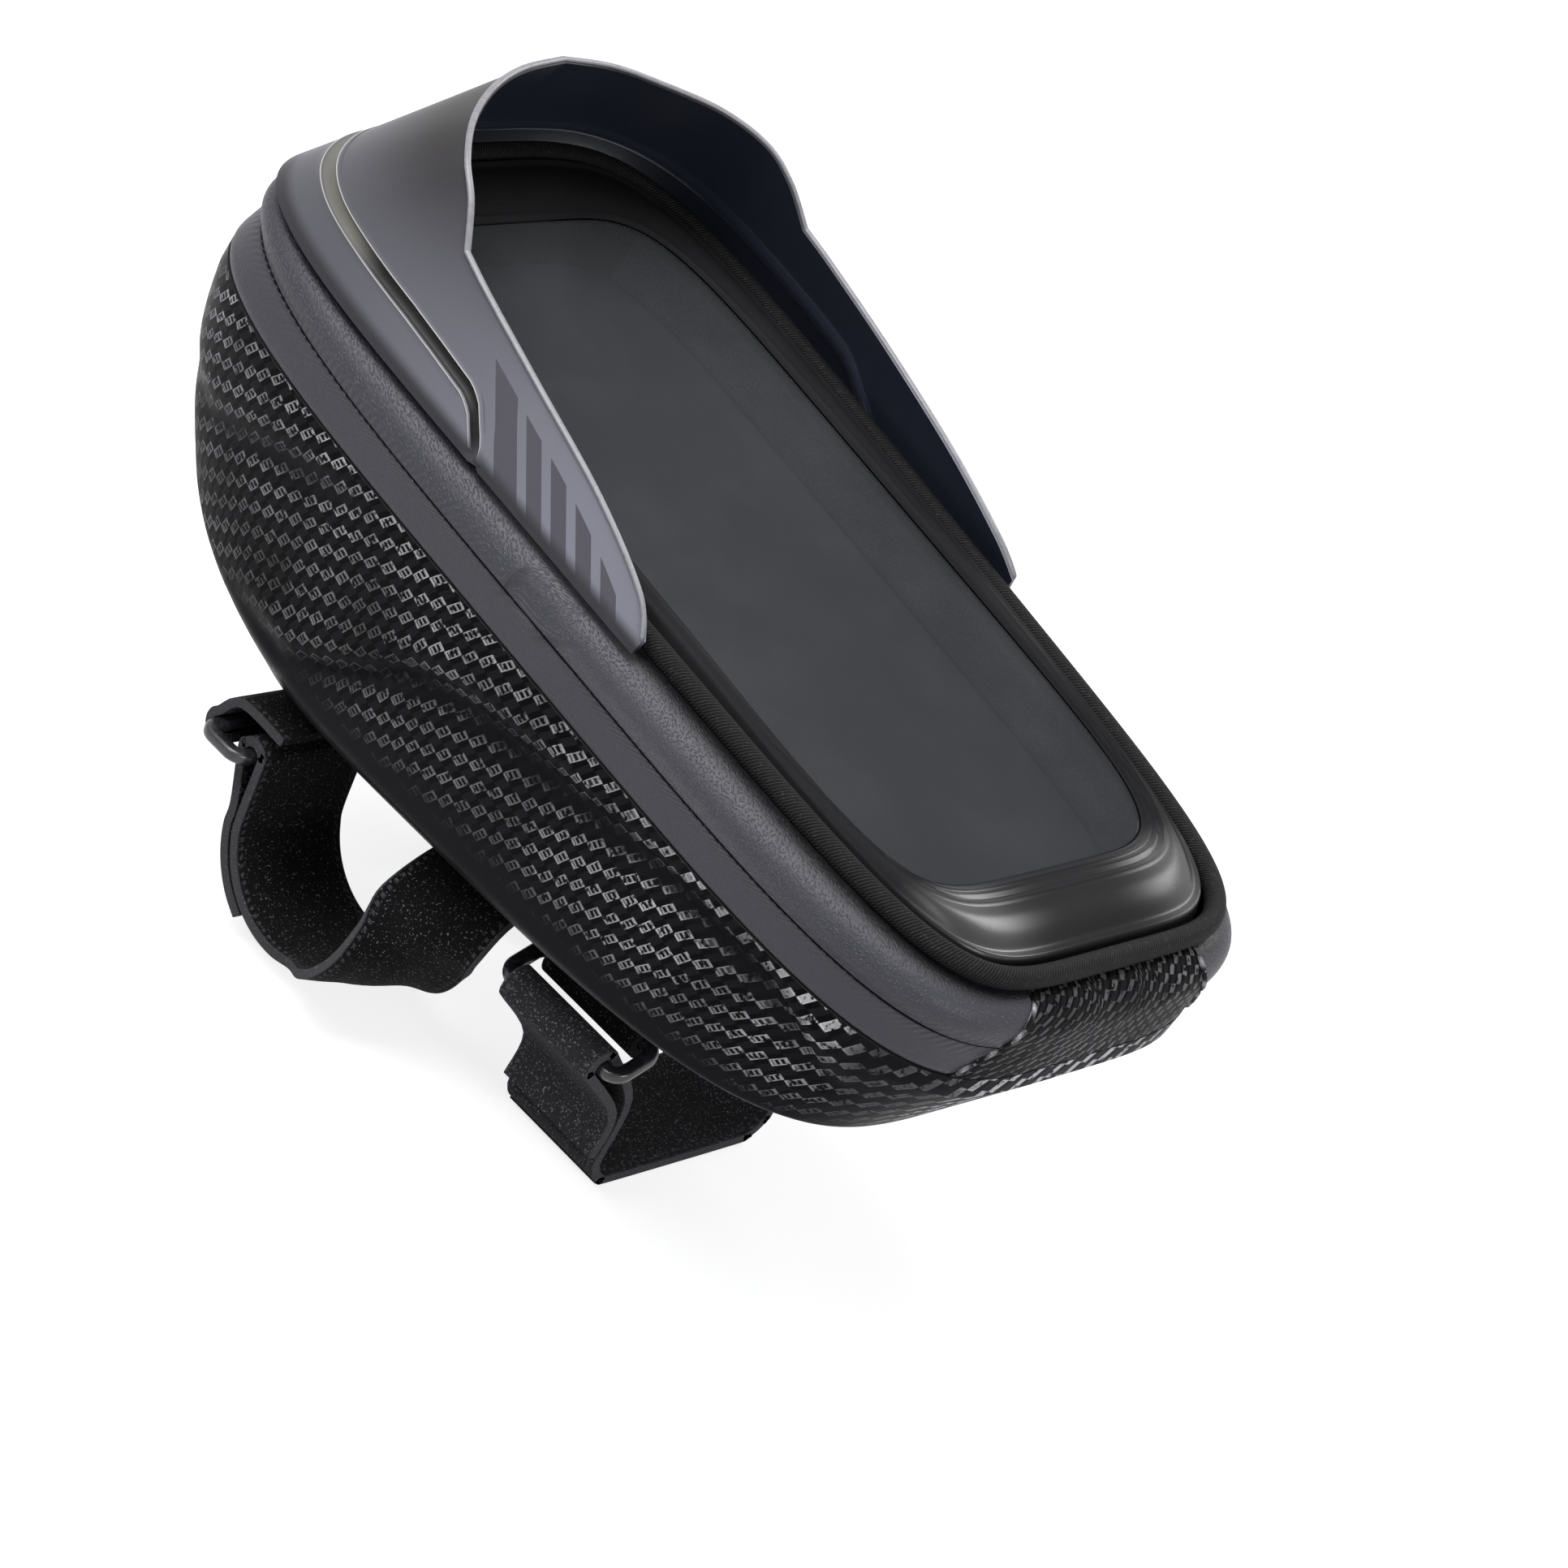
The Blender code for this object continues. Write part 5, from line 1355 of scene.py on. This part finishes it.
def twist_crease(share):
    """How much the strap wrinkles: most where it twists on to the bar."""
    return CREASE_HEIGHT * smooth_step(0.03, 0.1, share) * (1 - smooth_step(0.19, 0.27, share))


for side, label in ((-1, "left"), (1, "right")):
    ribbon(f"bar_strap_{label}_cloth", bar_strap_edges(side), 7, STRAP,
           f"bar_strap_{label}", twist_crease)

# %% [markdown]
# ## Rings and tabs
# Moulded rings with a flat oval section take the straps. They are glossy, with softly worn faces.


# %% Rings and their tabs
def ring_plastic():
    surface = Surface("ring_plastic")
    scuff = surface.noise(350.0, 4.0, 0.65)
    colour = surface.mix(scuff.rise(0.4, 0.8), (0.012, 0.012, 0.014), (0.040, 0.041, 0.048))
    return surface.finish(colour, 0.16 + scuff * 0.2, surface.bump(scuff, 0.04 * MM, 0.3),
                          specular_ior_level=0.6)


GLOSS = ring_plastic()


def rounded_loop(half_long, half_short, corner=RING_CORNER, steps=8):
    """A rectangle with round corners, as pairs of numbers."""
    points = []
    for turn, (sign_long, sign_short) in enumerate(((1, 1), (-1, 1), (-1, -1), (1, -1))):
        centre = (sign_long * (half_long - corner), sign_short * (half_short - corner))
        points += arc(centre, corner, 90 * turn, 90 * (turn + 1), steps)
    return points


def ring_piece(name, points, normal, node):
    """A ring with a flat oval section, which lies square to its normal."""
    rows = tube_rows(points, [normal] * len(points), RING_WIRE * 0.98, RING_WIRE * 0.9, 14,
                     closed=True, power=0.75)
    make_piece(name, skin(name, rows, closed=True, place=BASE), "bag", [GLOSS], [node])


for side, label in ((-1, "left"), (1, "right")):
    across, height = ring_bar_place()
    loop = rounded_loop(BAR_STRAP_WIDTH / 2 + RING_ROOM + RING_WIRE, RING_DEPTH / 2)
    centre = Vector((side * BAR_STRAP_X, across + RING_DEPTH / 2, height))
    ring_piece(f"bar_ring_{label}_loop", [centre + Vector((long, short, 0)) for long, short in loop],
               Vector((0, 0, 1)), f"bar_ring_{label}")
    far_bar = (across + RING_DEPTH, height)
    under = -GAP - STRAP_THICKNESS / 2
    start = far_bar[0] - TAB_SEAT
    path = [(start, under), (start + TAB_SEAT * 0.8, under)]
    path += arc(far_bar, RING_WIRE + GAP + STRAP_THICKNESS / 2, 60, -150, 7)
    half = BAR_STRAP_WIDTH / 2
    edges = [[Vector((side * (BAR_STRAP_X + edge), y, z)) for edge in (half, -half)] for y, z in path]
    ribbon(f"ring_tab_{label}_cloth", edges, 5, STRAP, f"ring_tab_{label}")

# %% [markdown]
# ## Stem strap
# One wider wrap goes under the stem, up to a slanted ring on the left, and folds back on itself.

# %% Stem strap, its ring and its tab
STEM_WIDTH = 43.0 * MM
STEM_HEIGHT = 37.0 * MM
STEM_STRAP_Y = -46.5 * MM
STEM_RING_TILT = math.radians(25.0)


def tangent_angle(centre, radius, point, way):
    """Angle at which a strap from this point meets a circle, on one side or the other."""
    across, up = point[0] - centre[0], point[1] - centre[1]
    return math.degrees(math.atan2(up, across) + way * math.acos(radius / math.hypot(across, up)))


def stem_edges(path):
    half = STEM_STRAP_WIDTH / 2
    return [[Vector((x, STEM_STRAP_Y + edge, z)) for edge in (half, -half)] for x, z in path]


under = -GAP - STRAP_THICKNESS / 2
side = STEM_WIDTH / 2 + GAP + STRAP_THICKNESS / 2
bottom = -STEM_HEIGHT - GAP - STRAP_THICKNESS / 2
corner = 6 * MM
layer = STRAP_THICKNESS + 2 * GAP
turn = RING_WIRE + GAP + STRAP_THICKNESS / 2
inner_bar = (-STEM_WIDTH / 2 - 5.2 * MM, -5.0 * MM)
outer_bar = (inner_bar[0] - RING_DEPTH * math.cos(STEM_RING_TILT),
             inner_bar[1] - RING_DEPTH * math.sin(STEM_RING_TILT))
path = [(6 * MM, under), (13 * MM, under)]
path += arc((side - 3 * MM, under - 3 * MM), 3 * MM, 90, 0, 3)
path += arc((side - corner, bottom + corner), corner, 0, -90, 4)
path += arc((-side + corner, bottom + corner), corner, -90, -180, 4)
rise, fold, end = (-side, bottom / 2), (-side - layer, bottom * 0.57), (-side - layer, bottom * 0.82)
path += [rise]
path += arc(outer_bar, turn, tangent_angle(outer_bar, turn, rise, 1),
            360 + tangent_angle(outer_bar, turn, fold, -1), 7)
path += [fold, end]
ribbon("stem_strap_cloth", stem_edges(path), 5, STRAP_GREY, "stem_strap")
loop = rounded_loop(STEM_STRAP_WIDTH / 2 + RING_ROOM + RING_WIRE, RING_DEPTH / 2)
tilt = Matrix.Rotation(-STEM_RING_TILT, 4, "Y")
middle = Vector(((inner_bar[0] + outer_bar[0]) / 2, STEM_STRAP_Y, (inner_bar[1] + outer_bar[1]) / 2))
ring_piece("stem_ring_loop", [middle + tilt @ Vector((short, long, 0)) for long, short in loop],
           tilt @ Vector((0, 0, 1)), "stem_ring")
path = [(-2 * MM, under), (-10 * MM, under), (-16 * MM, under)] + arc(inner_bar, turn, 105, 300, 6)
ribbon("stem_tab_cloth", stem_edges(path), 5, STRAP, "stem_ring_tab")

# %% [markdown]
# ## Zip
# Behind the slit, two tapes carry two coils of bent wire that mesh with each other. They show when
# the lid opens, so each coil is really wound: one helix along the band's inner face.


# %% Tapes and coils
COIL = mottled("zip_coil", (900.0, 2.0), (0.012, 0.012, 0.013), (0.03, 0.03, 0.032),
               (0.35, 0.15), (0.03 * MM, 0.3))
ZIP_TAPE = ribbed_tape("zip_tape", 0.7 * MM, 0.05)
TAPE_THICKNESS = 0.8 * MM
TEETH_WIDTH = 1.4 * MM
TEETH_HEIGHT = 1.5 * MM
COIL_PITCH = 1.5 * MM
COIL_SIDES = 8
COIL_DEPTH, COIL_HEIGHT = 0.48 * MM, 0.5 * MM


def tape_piece(name, loops, body, node):
    rows = [open_row(loop, HINGE_HALF_BOTTOM + GAP, 240) for loop in loops]
    mesh = skin(name, rows, inside=UNDER_BAND)
    thicken(make_piece(name, mesh, body, [ZIP_TAPE], [node]), TAPE_THICKNESS)


inset = BAND_THICKNESS + GAP
tape_piece("zip_tape_lid_cloth", [shoulder_ring(math.radians(40 - 8 * step), inset) for step in range(6)],
           "lid", "zip_tape_lid")
tape_top = ZIP_DROP + ZIP_SLIT / 2
tape_piece("zip_tape_shell_cloth", [band_ring(tape_top + (BAND_DROP - GAP - tape_top) * step / 5, inset)
                                    for step in range(6)], "bag", "zip_tape_shell")


def coil_piece(name, drop, body, node):
    """A wound coil along the band's inner face, one turn for each tooth."""
    inset = BAND_THICKNESS + GAP + TAPE_THICKNESS + 2 * GAP + TEETH_WIDTH / 2
    line = open_row(band_ring(drop, inset), HINGE_HALF_BOTTOM + GAP, 700)
    far = distances(line)
    steps = int(far[-1] / COIL_PITCH) * COIL_SIDES
    points, outs = [], []
    for step in range(steps + 1):
        reach = far[-1] * step / steps
        index = min(bisect.bisect_right(far, reach), len(far) - 1)
        part = (reach - far[index - 1]) / (far[index] - far[index - 1])
        centre = line[index - 1].lerp(line[index], part)
        tangent = (line[index] - line[index - 1]).normalized()
        upward = Vector((0, 0, 1))
        angle = 2 * math.pi * step / COIL_SIDES
        out = upward.cross(tangent) * math.cos(angle) * COIL_DEPTH + upward * math.sin(angle) * COIL_HEIGHT
        points.append(centre + out)
        outs.append(out.normalized())
    mesh = skin(name, tube_rows(points, outs, 0.24 * MM, 0.22 * MM, 5))
    make_piece(name, mesh, body, [COIL], [node])


coil_piece("zip_coil_lid", ZIP_DROP - ZIP_SLIT / 2 - TEETH_HEIGHT / 2, "lid", "zip_teeth_lid")
coil_piece("zip_coil_shell", ZIP_DROP + ZIP_SLIT / 2 + TEETH_HEIGHT / 2, "bag", "zip_teeth_shell")

# %% [markdown]
# ## Sliders and pulls
# Two small metal sliders meet at the far end. Each is a front and a back plate joined by a web that
# runs in the slit, with a wire bail in front, from which a ribbed rubber pull hangs.

# %% Bevelled blocks
SLIDER_LENGTH = 9.0 * MM
SLIDER_HEIGHT = 6.4 * MM
SLIDER_PLATE = 1.4 * MM
SLIDER_SPACING = 11.0 * MM
BACK_CLEARANCE = 1.5 * MM
BAIL_RADIUS = 0.7 * MM
BAIL_REACH = 3.0 * MM
PULL_LENGTH = 21.0 * MM
PULL_WIDTH = 6.0 * MM
PULL_THICKNESS = 1.6 * MM


def block(form, size, centre, bevel, taper=1.0):
    """Add a bevelled block to a form; taper narrows its lower end."""
    made = bmesh.ops.create_cube(form, size=1.0)
    for vert in made["verts"]:
        narrow = taper if vert.co.z < 0 else 1.0
        corner = (vert.co.x * size[0] * narrow, vert.co.y * size[1], vert.co.z * size[2])
        vert.co = Vector(corner) + Vector(centre)
    edges = {edge for vert in made["verts"] for edge in vert.link_edges}
    bmesh.ops.bevel(form, geom=list(edges), offset=bevel, segments=3, profile=0.6, affect="EDGES")


def join_rows(form, rows, closed=False):
    """Add a swept tube to a form."""
    mesh = skin("part", rows, closed=closed, place=BASE)
    form.from_mesh(mesh)
    bpy.data.meshes.remove(mesh)


def form_mesh(name, form, place):
    """Put a form in its place, and keep it as a mesh."""
    form.transform(place)
    mesh = bpy.data.meshes.new(name)
    form.to_mesh(mesh)
    form.free()
    return mesh


# %% Slider and pull materials
METAL = mottled("slider_gunmetal", (500.0, 4.0, 0.6), (0.05, 0.05, 0.055), (0.13, 0.13, 0.14),
                (0.25, 0.2), (0.03 * MM, 0.3), metallic=0.9)
RUBBER = mottled("pull_rubber", (1600.0, 3.0), (0.012, 0.012, 0.013), (0.03, 0.03, 0.032),
                 (0.6, 0.15), (0.06 * MM, 0.5))

# %% Build sliders and pulls
front = ring_point(band_ring(ZIP_DROP), math.pi / 2).y + GAP
rear = ring_point(band_ring(ZIP_DROP, BAND_THICKNESS + TAPE_THICKNESS + 3 * GAP), math.pi / 2).y
rear -= TEETH_WIDTH + BACK_CLEARANCE
bail_y = front + SLIDER_PLATE + BAIL_REACH
loop_outer = BAIL_RADIUS + GAP + BAIL_RADIUS
eye_width = PULL_WIDTH - 4 * BAIL_RADIUS - 4 * GAP
PLATE = (SLIDER_LENGTH, SLIDER_PLATE, SLIDER_HEIGHT)
PLATE_BEVEL = 0.45 * MM
BAIL_CORNER = 1.0 * MM
EYE_STEPS = 20
PULL_RIBS = 6


def slider_form(x):
    """Front plate, back plate, the web between them and the wire bail."""
    form = bmesh.new()
    for y in (front + SLIDER_PLATE / 2, rear - SLIDER_PLATE / 2):
        block(form, PLATE, (x, y, -ZIP_DROP), PLATE_BEVEL)
    web = (SLIDER_LENGTH * 0.6, front - rear + SLIDER_PLATE, 0.4 * MM)
    block(form, web, (x, (front + rear) / 2, -ZIP_DROP), 0.08 * MM)
    reach = PULL_WIDTH / 2 - BAIL_RADIUS
    half = [(reach, front + 0.5 * MM), (reach, bail_y - BAIL_CORNER), (reach * 0.72, bail_y)]
    corners = [(-across, y) for across, y in half] + half[::-1]
    bail = smooth_path([Vector((x + across, y, -ZIP_DROP)) for across, y in corners], 5)
    wire = BAIL_RADIUS * 0.95
    join_rows(form, tube_rows(bail, [Vector((0, 0, 1))] * len(bail), wire, wire, 10))
    return form


def pull_form():
    """Eye round the bail, a neck and a tapered grip with ribs."""
    form = bmesh.new()
    centre = loop_outer - BAIL_RADIUS * 0.5
    angles = [2 * math.pi * step / EYE_STEPS for step in range(EYE_STEPS)]
    eye = [Vector((0, centre * math.cos(angle), centre * math.sin(angle))) for angle in angles]
    join_rows(form, tube_rows(eye, [Vector((1, 0, 0))] * EYE_STEPS, BAIL_RADIUS * 0.48, eye_width / 2, 10,
                              closed=True), closed=True)
    thin = PULL_THICKNESS * 0.8
    block(form, (eye_width, thin, PULL_LENGTH * 0.3), (0, 0, -loop_outer - PULL_LENGTH * 0.12), 0.3 * MM)
    block(form, (PULL_WIDTH, thin, PULL_LENGTH * 0.7), (0, 0, -PULL_LENGTH * 0.62), 0.35 * MM, 0.86)
    for step in range(PULL_RIBS):
        level = -PULL_LENGTH * (0.42 + 0.08 * step)
        block(form, (PULL_WIDTH * 0.74, PULL_THICKNESS, 0.9 * MM), (0, 0, level), 0.12 * MM)
    return form


for side, label in ((-1, "left"), (1, "right")):
    x = side * SLIDER_SPACING / 2
    mesh = form_mesh(f"slider_{label}_body", slider_form(x), LID)
    make_piece(f"slider_{label}_body", mesh, f"{label}_slider", [METAL], [f"slider_{label}"])
    place = Matrix.Translation(LID @ Vector((x, bail_y, -ZIP_DROP)))
    mesh = form_mesh(f"pull_{label}_tab", pull_form(), place)
    make_piece(f"pull_{label}_tab", mesh, f"{label}_pull", [RUBBER], [f"pull_{label}"])

# %% Pocket tab
TAB_WIDTH = 24.0 * MM
TAB_LENGTH = 30.0 * MM
TAB_THICKNESS = 1.6 * MM
tab_z = back_level - POCKET_BACK - GAP - TAB_THICKNESS / 2
tab_y = WINDOW_LENGTH / 2 - TAB_LENGTH / 2
form = bmesh.new()
block(form, (TAB_WIDTH, TAB_LENGTH, TAB_THICKNESS * 0.9), (0, tab_y, tab_z), 0.4 * MM)
mesh = form_mesh("pocket_tab_cloth", form, LID)
uv = mesh.uv_layers.new(name="cloth")
for loop in mesh.loops:
    point = LID_BACKWARD @ mesh.vertices[loop.vertex_index].co
    uv.data[loop.index].uv = (point.x + TAB_WIDTH / 2, point.y)
make_piece("pocket_tab_cloth", mesh, "lid", [STRAP], ["pocket_tab"])

# %% [markdown]
# ## Floor, backdrop and lights
# The photograph's ground is pure white. The floor is pale, and gives off some light only to rays
# from the camera, off shiny things and through clear ones, so it reads as white and still keeps
# the bag's shadow. The world does the same. The lamps are large and soft: one high on the left,
# one overhead, one at the rider's end, and a small one on the right for the border's corners.
# A narrow, weak one puts a streak on the film at slanting views.

# %% Staging
FLOOR_LEVEL = -39.6 * MM
FLOOR_REACH = 6.0
bpy.context.scene.view_settings.view_transform = "Standard"

floor_mesh = bpy.data.meshes.new("floor")
floor_mesh.from_pydata([(across * FLOOR_REACH, along * FLOOR_REACH, FLOOR_LEVEL)
                        for across, along in ((-1, -1), (1, -1), (1, 1), (-1, 1))], [], [(0, 1, 2, 3)])
floor = bpy.data.objects.new("floor", floor_mesh)
bpy.context.scene.collection.objects.link(floor)


def light_path(surface):
    """1 for rays from the camera, and for those off shiny things and through clear ones."""
    labels = ("Is Camera Ray", "Is Glossy Ray", "Is Transmission Ray")
    seen_ray, gloss_ray, clear_ray = [surface.node("ShaderNodeLightPath", None, None, label)
                                      for label in labels]
    return seen_ray.larger(gloss_ray).larger(clear_ray)


pale = Surface("pale_floor")
pale.finish((0.45, 0.45, 0.46), 0.9, specular_ior_level=0.1)
seen = pale.node("ShaderNodeEmission", None, {"Color": (1, 1, 1, 1), "Strength": 0.8})
dark = pale.node("ShaderNodeEmission", None, {"Color": (0, 0, 0, 1), "Strength": 0.0})
extra = pale.node("ShaderNodeMixShader", None, {0: light_path(pale), 1: dark, 2: seen})
pale.end_in(pale.node("ShaderNodeAddShader", None, {0: pale.shaded(), 1: extra}))
floor_mesh.materials.append(pale.material)

world = bpy.data.worlds.new("studio")
bpy.context.scene.world = world
world.use_nodes = True


class Sky(Surface):
    """The world's nodes, built with the same helpers."""

    def __init__(self, made):
        self.tree = made.node_tree


sky = Sky(world)
ambient = sky.node("ShaderNodeBackground", None, {"Color": (0.93, 0.95, 1.0, 1.0), "Strength": 0.24})
white = sky.node("ShaderNodeBackground", None, {"Color": (1, 1, 1, 1), "Strength": 1.0})
sky.end_in(sky.node("ShaderNodeMixShader", None, {0: light_path(sky), 1: ambient, 2: white}),
           "World Output")


# %% Lamps
def softbox(name, place, target, size, watts):
    """A rectangular lamp that looks at a target."""
    lamp = bpy.data.lights.new(name, "AREA")
    lamp.shape = "RECTANGLE"
    lamp.size, lamp.size_y = size
    lamp.energy = watts
    thing = bpy.data.objects.new(name, lamp)
    bpy.context.scene.collection.objects.link(thing)
    thing.location = place
    thing.rotation_euler = (Vector(target) - Vector(place)).to_track_quat("-Z", "Y").to_euler()
    print(name, "gives", watts, "W")


softbox("high_left", (-0.55, 0.25, 0.95), (0, -0.02, 0.05), (0.55, 0.9), 8)
softbox("overhead", (-0.12, 0.1, 1.15), (0, 0, 0.05), (0.8, 1.1), 9)
softbox("rider_end", (-0.35, -1.1, 0.5), (0, -0.05, 0.05), (0.5, 0.3), 4)
softbox("right_fill", (0.9, -0.06, 0.82), (0, -0.08, 0.05), (0.3, 0.3), 2.6)
softbox("window_sheen", (0.97, 0.40, 0.72), (0, 0, 0.05), (0.12, 0.9), 0.2)
